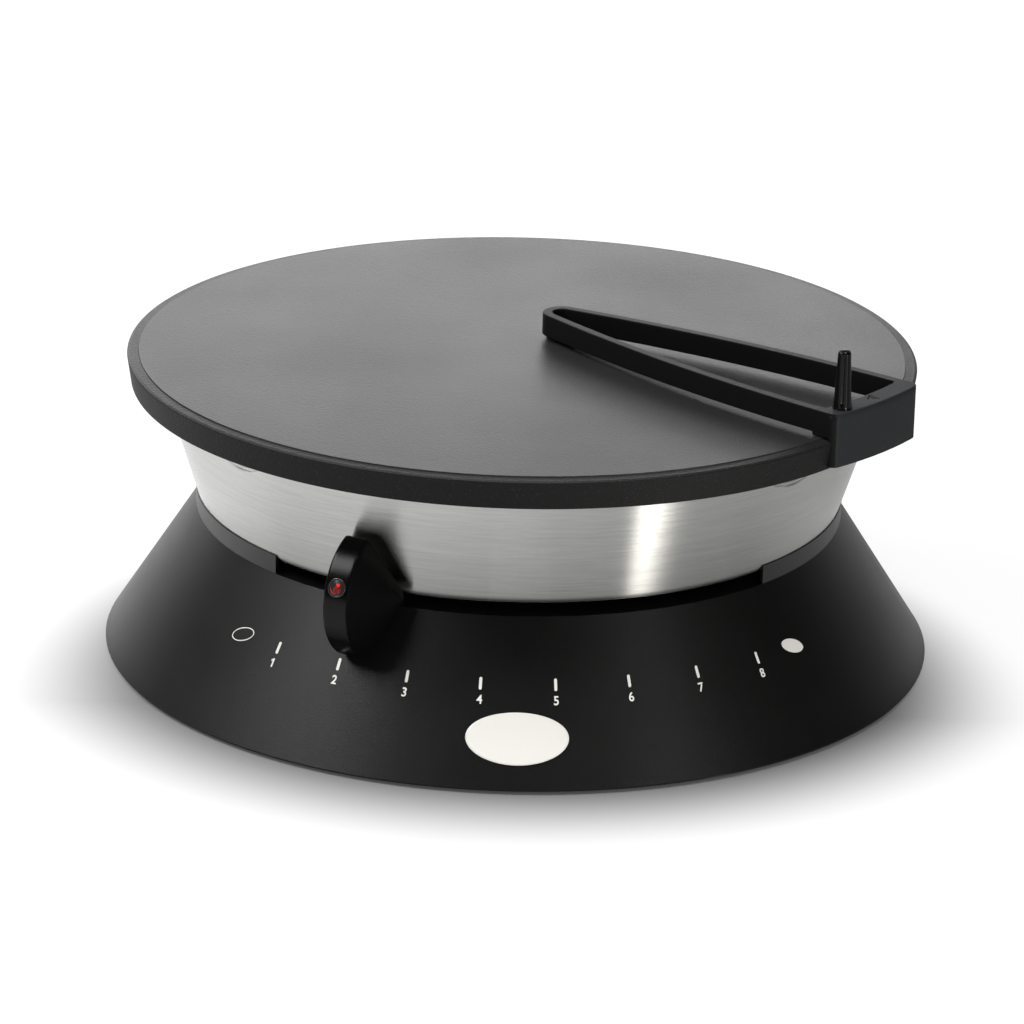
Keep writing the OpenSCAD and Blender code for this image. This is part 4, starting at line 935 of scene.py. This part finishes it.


# A floor that glows white for the camera away from the object, and dimmer for gloss. The glow fades out
# towards the base, further out in front than behind, as a painted shadow over the lit floor's own shadow;
# what gloss sees of it is dimmed towards the right and the back as painted shade in reflections. The bright
# streak on the steel is a painted reflection: a narrow wedge of the glow that only gloss picks up.
def makeFloor():
    s = studio
    corners = [(x * s["floorSize"], y * s["floorSize"], 0) for x, y in ((-1, -1), (1, -1), (1, 1), (-1, 1))]
    mesh = bpy.data.meshes.new("floor")
    mesh.from_pydata(corners, [], [(0, 1, 2, 3)])
    floor = addObject("floor", mesh)
    material, tree, principled = newMaterial("paleFloor")
    grey = ramp(tree, noise(tree, objectSpace(tree), 3.0), 0.0, 1.0,
                s["floorGrey"] - s["floorDrift"], s["floorGrey"] + s["floorDrift"])
    fill(tree, principled, {"Base Color": grey, "Roughness": 1.0, "Specular IOR Level": 0.0})
    direct, gloss, shine = rayKinds(tree)
    place = addNode(tree, "SeparateXYZ", {0: objectSpace(tree)})
    # Painted shade in reflections: the glow that gloss sees is dimmed towards the right and the back.
    shadedGlossGlow = times(tree, ramp(tree, place.outputs["X"], *s["reflectedShadeAcross"]),
                   ramp(tree, place.outputs["Y"], *s["reflectedShadeBack"]), shine)
    turn = math.radians(s["streakTurn"])
    fromPoint = vectorMaths(tree, "SUBTRACT", objectSpace(tree), s["streakFrom"])
    along = vectorMaths(tree, "DOT_PRODUCT", fromPoint, (math.sin(turn), -math.cos(turn), 0))
    across = vectorMaths(tree, "DOT_PRODUCT", fromPoint, (math.cos(turn), math.sin(turn), 0))
    slant = maths(tree, "DIVIDE", maths(tree, "ABSOLUTE", across), maths(tree, "MAXIMUM", along, 0.001))
    # Painted reflection: a narrow wedge of glow that only gloss sees makes the bright streak on the steel.
    paintedStreak = times(tree, gloss, ramp(tree, slant, *s["streakEdge"], 0.0, s["streakWhite"]))
    away = vectorMaths(tree, "LENGTH", objectSpace(tree))
    white = times(tree, direct, ramp(tree, away, *s["farWhite"]))
    seen = maths(tree, "MAXIMUM", white, plus(tree, shadedGlossGlow, paintedStreak))
    # Painted shadow: the glow fades out towards the base, further out in front than behind.
    away = plus(tree, away, ramp(tree, place.outputs["Y"], *s["paintedShadowBack"]))
    seen = times(tree, seen, ramp(tree, away, *s["paintedShadowEdge"], kind="SMOOTHSTEP"))
    tint = mixColour(tree, maths(tree, "MINIMUM", paintedStreak, 1.0), (1, 1, 1, 1), s["streakTint"])
    glow = addNode(tree, "Emission", {"Color": tint, "Strength": times(tree, seen, s["floorGlow"])})
    both = addNode(tree, "AddShader", {0: principled.outputs[0], 1: glow.outputs[0]})
    tree.links.new(both.outputs[0], tree.nodes["Material Output"].inputs["Surface"])
    mesh.materials.append(material)


# White where the camera looks past the object, a studio that is bright behind and dim in front for gloss.
def makeWorld():
    s = studio
    world = bpy.data.worlds.new("studio")
    bpy.context.scene.world = world
    world.use_nodes = True
    tree = world.node_tree
    direction = addNode(tree, "SeparateXYZ", {0: addNode(tree, "TexCoord").outputs["Generated"]})
    x, y, z = (direction.outputs[k] for k in "XYZ")
    side = ramp(tree, y, *s["sideRamp"], s["frontGrey"], s["sideWhite"])
    box = times(tree, ramp(tree, y, *s["boxNear"]), ramp(tree, z, *s["boxLow"]), ramp(tree, z, *s["boxHigh"]),
                ramp(tree, x, *s["boxAcross"]))
    back = plus(tree, side, times(tree, box, s["backWhite"] - s["sideWhite"]))
    glossy, soft, white = (addNode(tree, "Background", {"Color": (1, 1, 1, 1), "Strength": strength})
                           for strength in (back, s["soft"], 1.0))
    direct, _, shine = rayKinds(tree)
    first = addNode(tree, "MixShader", {0: shine, 1: soft.outputs[0], 2: glossy.outputs[0]})
    second = addNode(tree, "MixShader", {0: direct, 1: first.outputs[0], 2: white.outputs[0]})
    output = tree.nodes.get("World Output") or tree.nodes.new("ShaderNodeOutputWorld")
    tree.links.new(second.outputs[0], output.inputs["Surface"])


# Puts a lamp or a camera at a distance from its target, by azimuth and elevation, rolled about its own line.
def aim(item, azimuth, elevation, target, distance=0.0, roll=0.0):
    back = polar(azimuth, math.cos(elevation), math.sin(elevation))
    level = np.array([math.cos(azimuth), math.sin(azimuth), 0.0])
    upright = np.cross(back, level)
    right = math.cos(roll) * level + math.sin(roll) * upright
    up = math.cos(roll) * upright - math.sin(roll) * level
    matrix = np.eye(4)
    matrix[:3] = np.stack([right, up, back, np.array(target) + distance * back], -1)
    item.matrix_world = Matrix(matrix.tolist())


# Each lamp's azimuth from the front, elevation, distance, width, height and brightness of its face.
lamps = {
    "keySoftbox": {"at": (-86, 48, 2.2), "size": (1.6, 0.8), "bright": 10.5},
    "topSoftbox": {"at": (-12, 84, 2.4), "size": (1.0, 1.0), "bright": 10.0},
    "backSoftbox": {"at": (-162, 15, 0.75), "size": (1.1, 0.16), "bright": 2.6},
    "rightStrip": {"at": (41.3, 0.3, 2.2), "size": (0.34, 0.11), "bright": 90.0, "colour": (1.0, 0.97, 0.92),
                   "target": (0, 0, 0.045)},
    "rightSoftbox": {"at": (44, 30, 2.2), "size": (0.3, 0.7), "bright": 3.5},
    "frontFill": {"at": (10, 8, 2.2), "size": (1.6, 0.8), "bright": 5.6, "gloss": False}}


# An area lamp that faces its target. Brightness is that of its face, so its power is that by pi and its area.
def addLamp(name, at, size, bright, colour=(1, 1, 1), target=(0, 0, 0.08), gloss=True):
    light = bpy.data.lights.new(name, "AREA")
    light.shape = "RECTANGLE"
    light.size, light.size_y = size
    light.energy = bright * math.pi * size[0] * size[1]
    light.color = colour
    lamp = addObject(name, light)
    aim(lamp, math.radians(at[0]), math.radians(at[1]), target, at[2])
    lamp.visible_camera = False
    lamp.visible_glossy = gloss


camera = {
    "distance": 2.11188, "height": 0.82178, "turn": 0.6, "pitch": 19.8584, "yaw": 0.52221, "roll": 1.38742,
    "lens": 175.781, "sensor": 36.0, "reach": 50.0}


# The camera looks along its yaw and pitch, rolled about that line.
def makeCamera():
    data = bpy.data.cameras.new("camera")
    data.sensor_width = camera["sensor"]
    data.lens = camera["lens"]
    data.clip_end = camera["reach"]
    eye = addObject("camera", data)
    turn, pitch, yaw, roll = (math.radians(camera[k]) for k in ("turn", "pitch", "yaw", "roll"))
    aim(eye, -yaw, pitch, polar(-turn, camera["distance"], camera["height"]), roll=roll)
    bpy.context.scene.camera = eye


makeFloor()
makeWorld()
for name, settings in lamps.items():
    addLamp(name, **settings)
makeCamera()
bpy.context.scene.view_settings.view_transform = "Standard"
print("studio made")
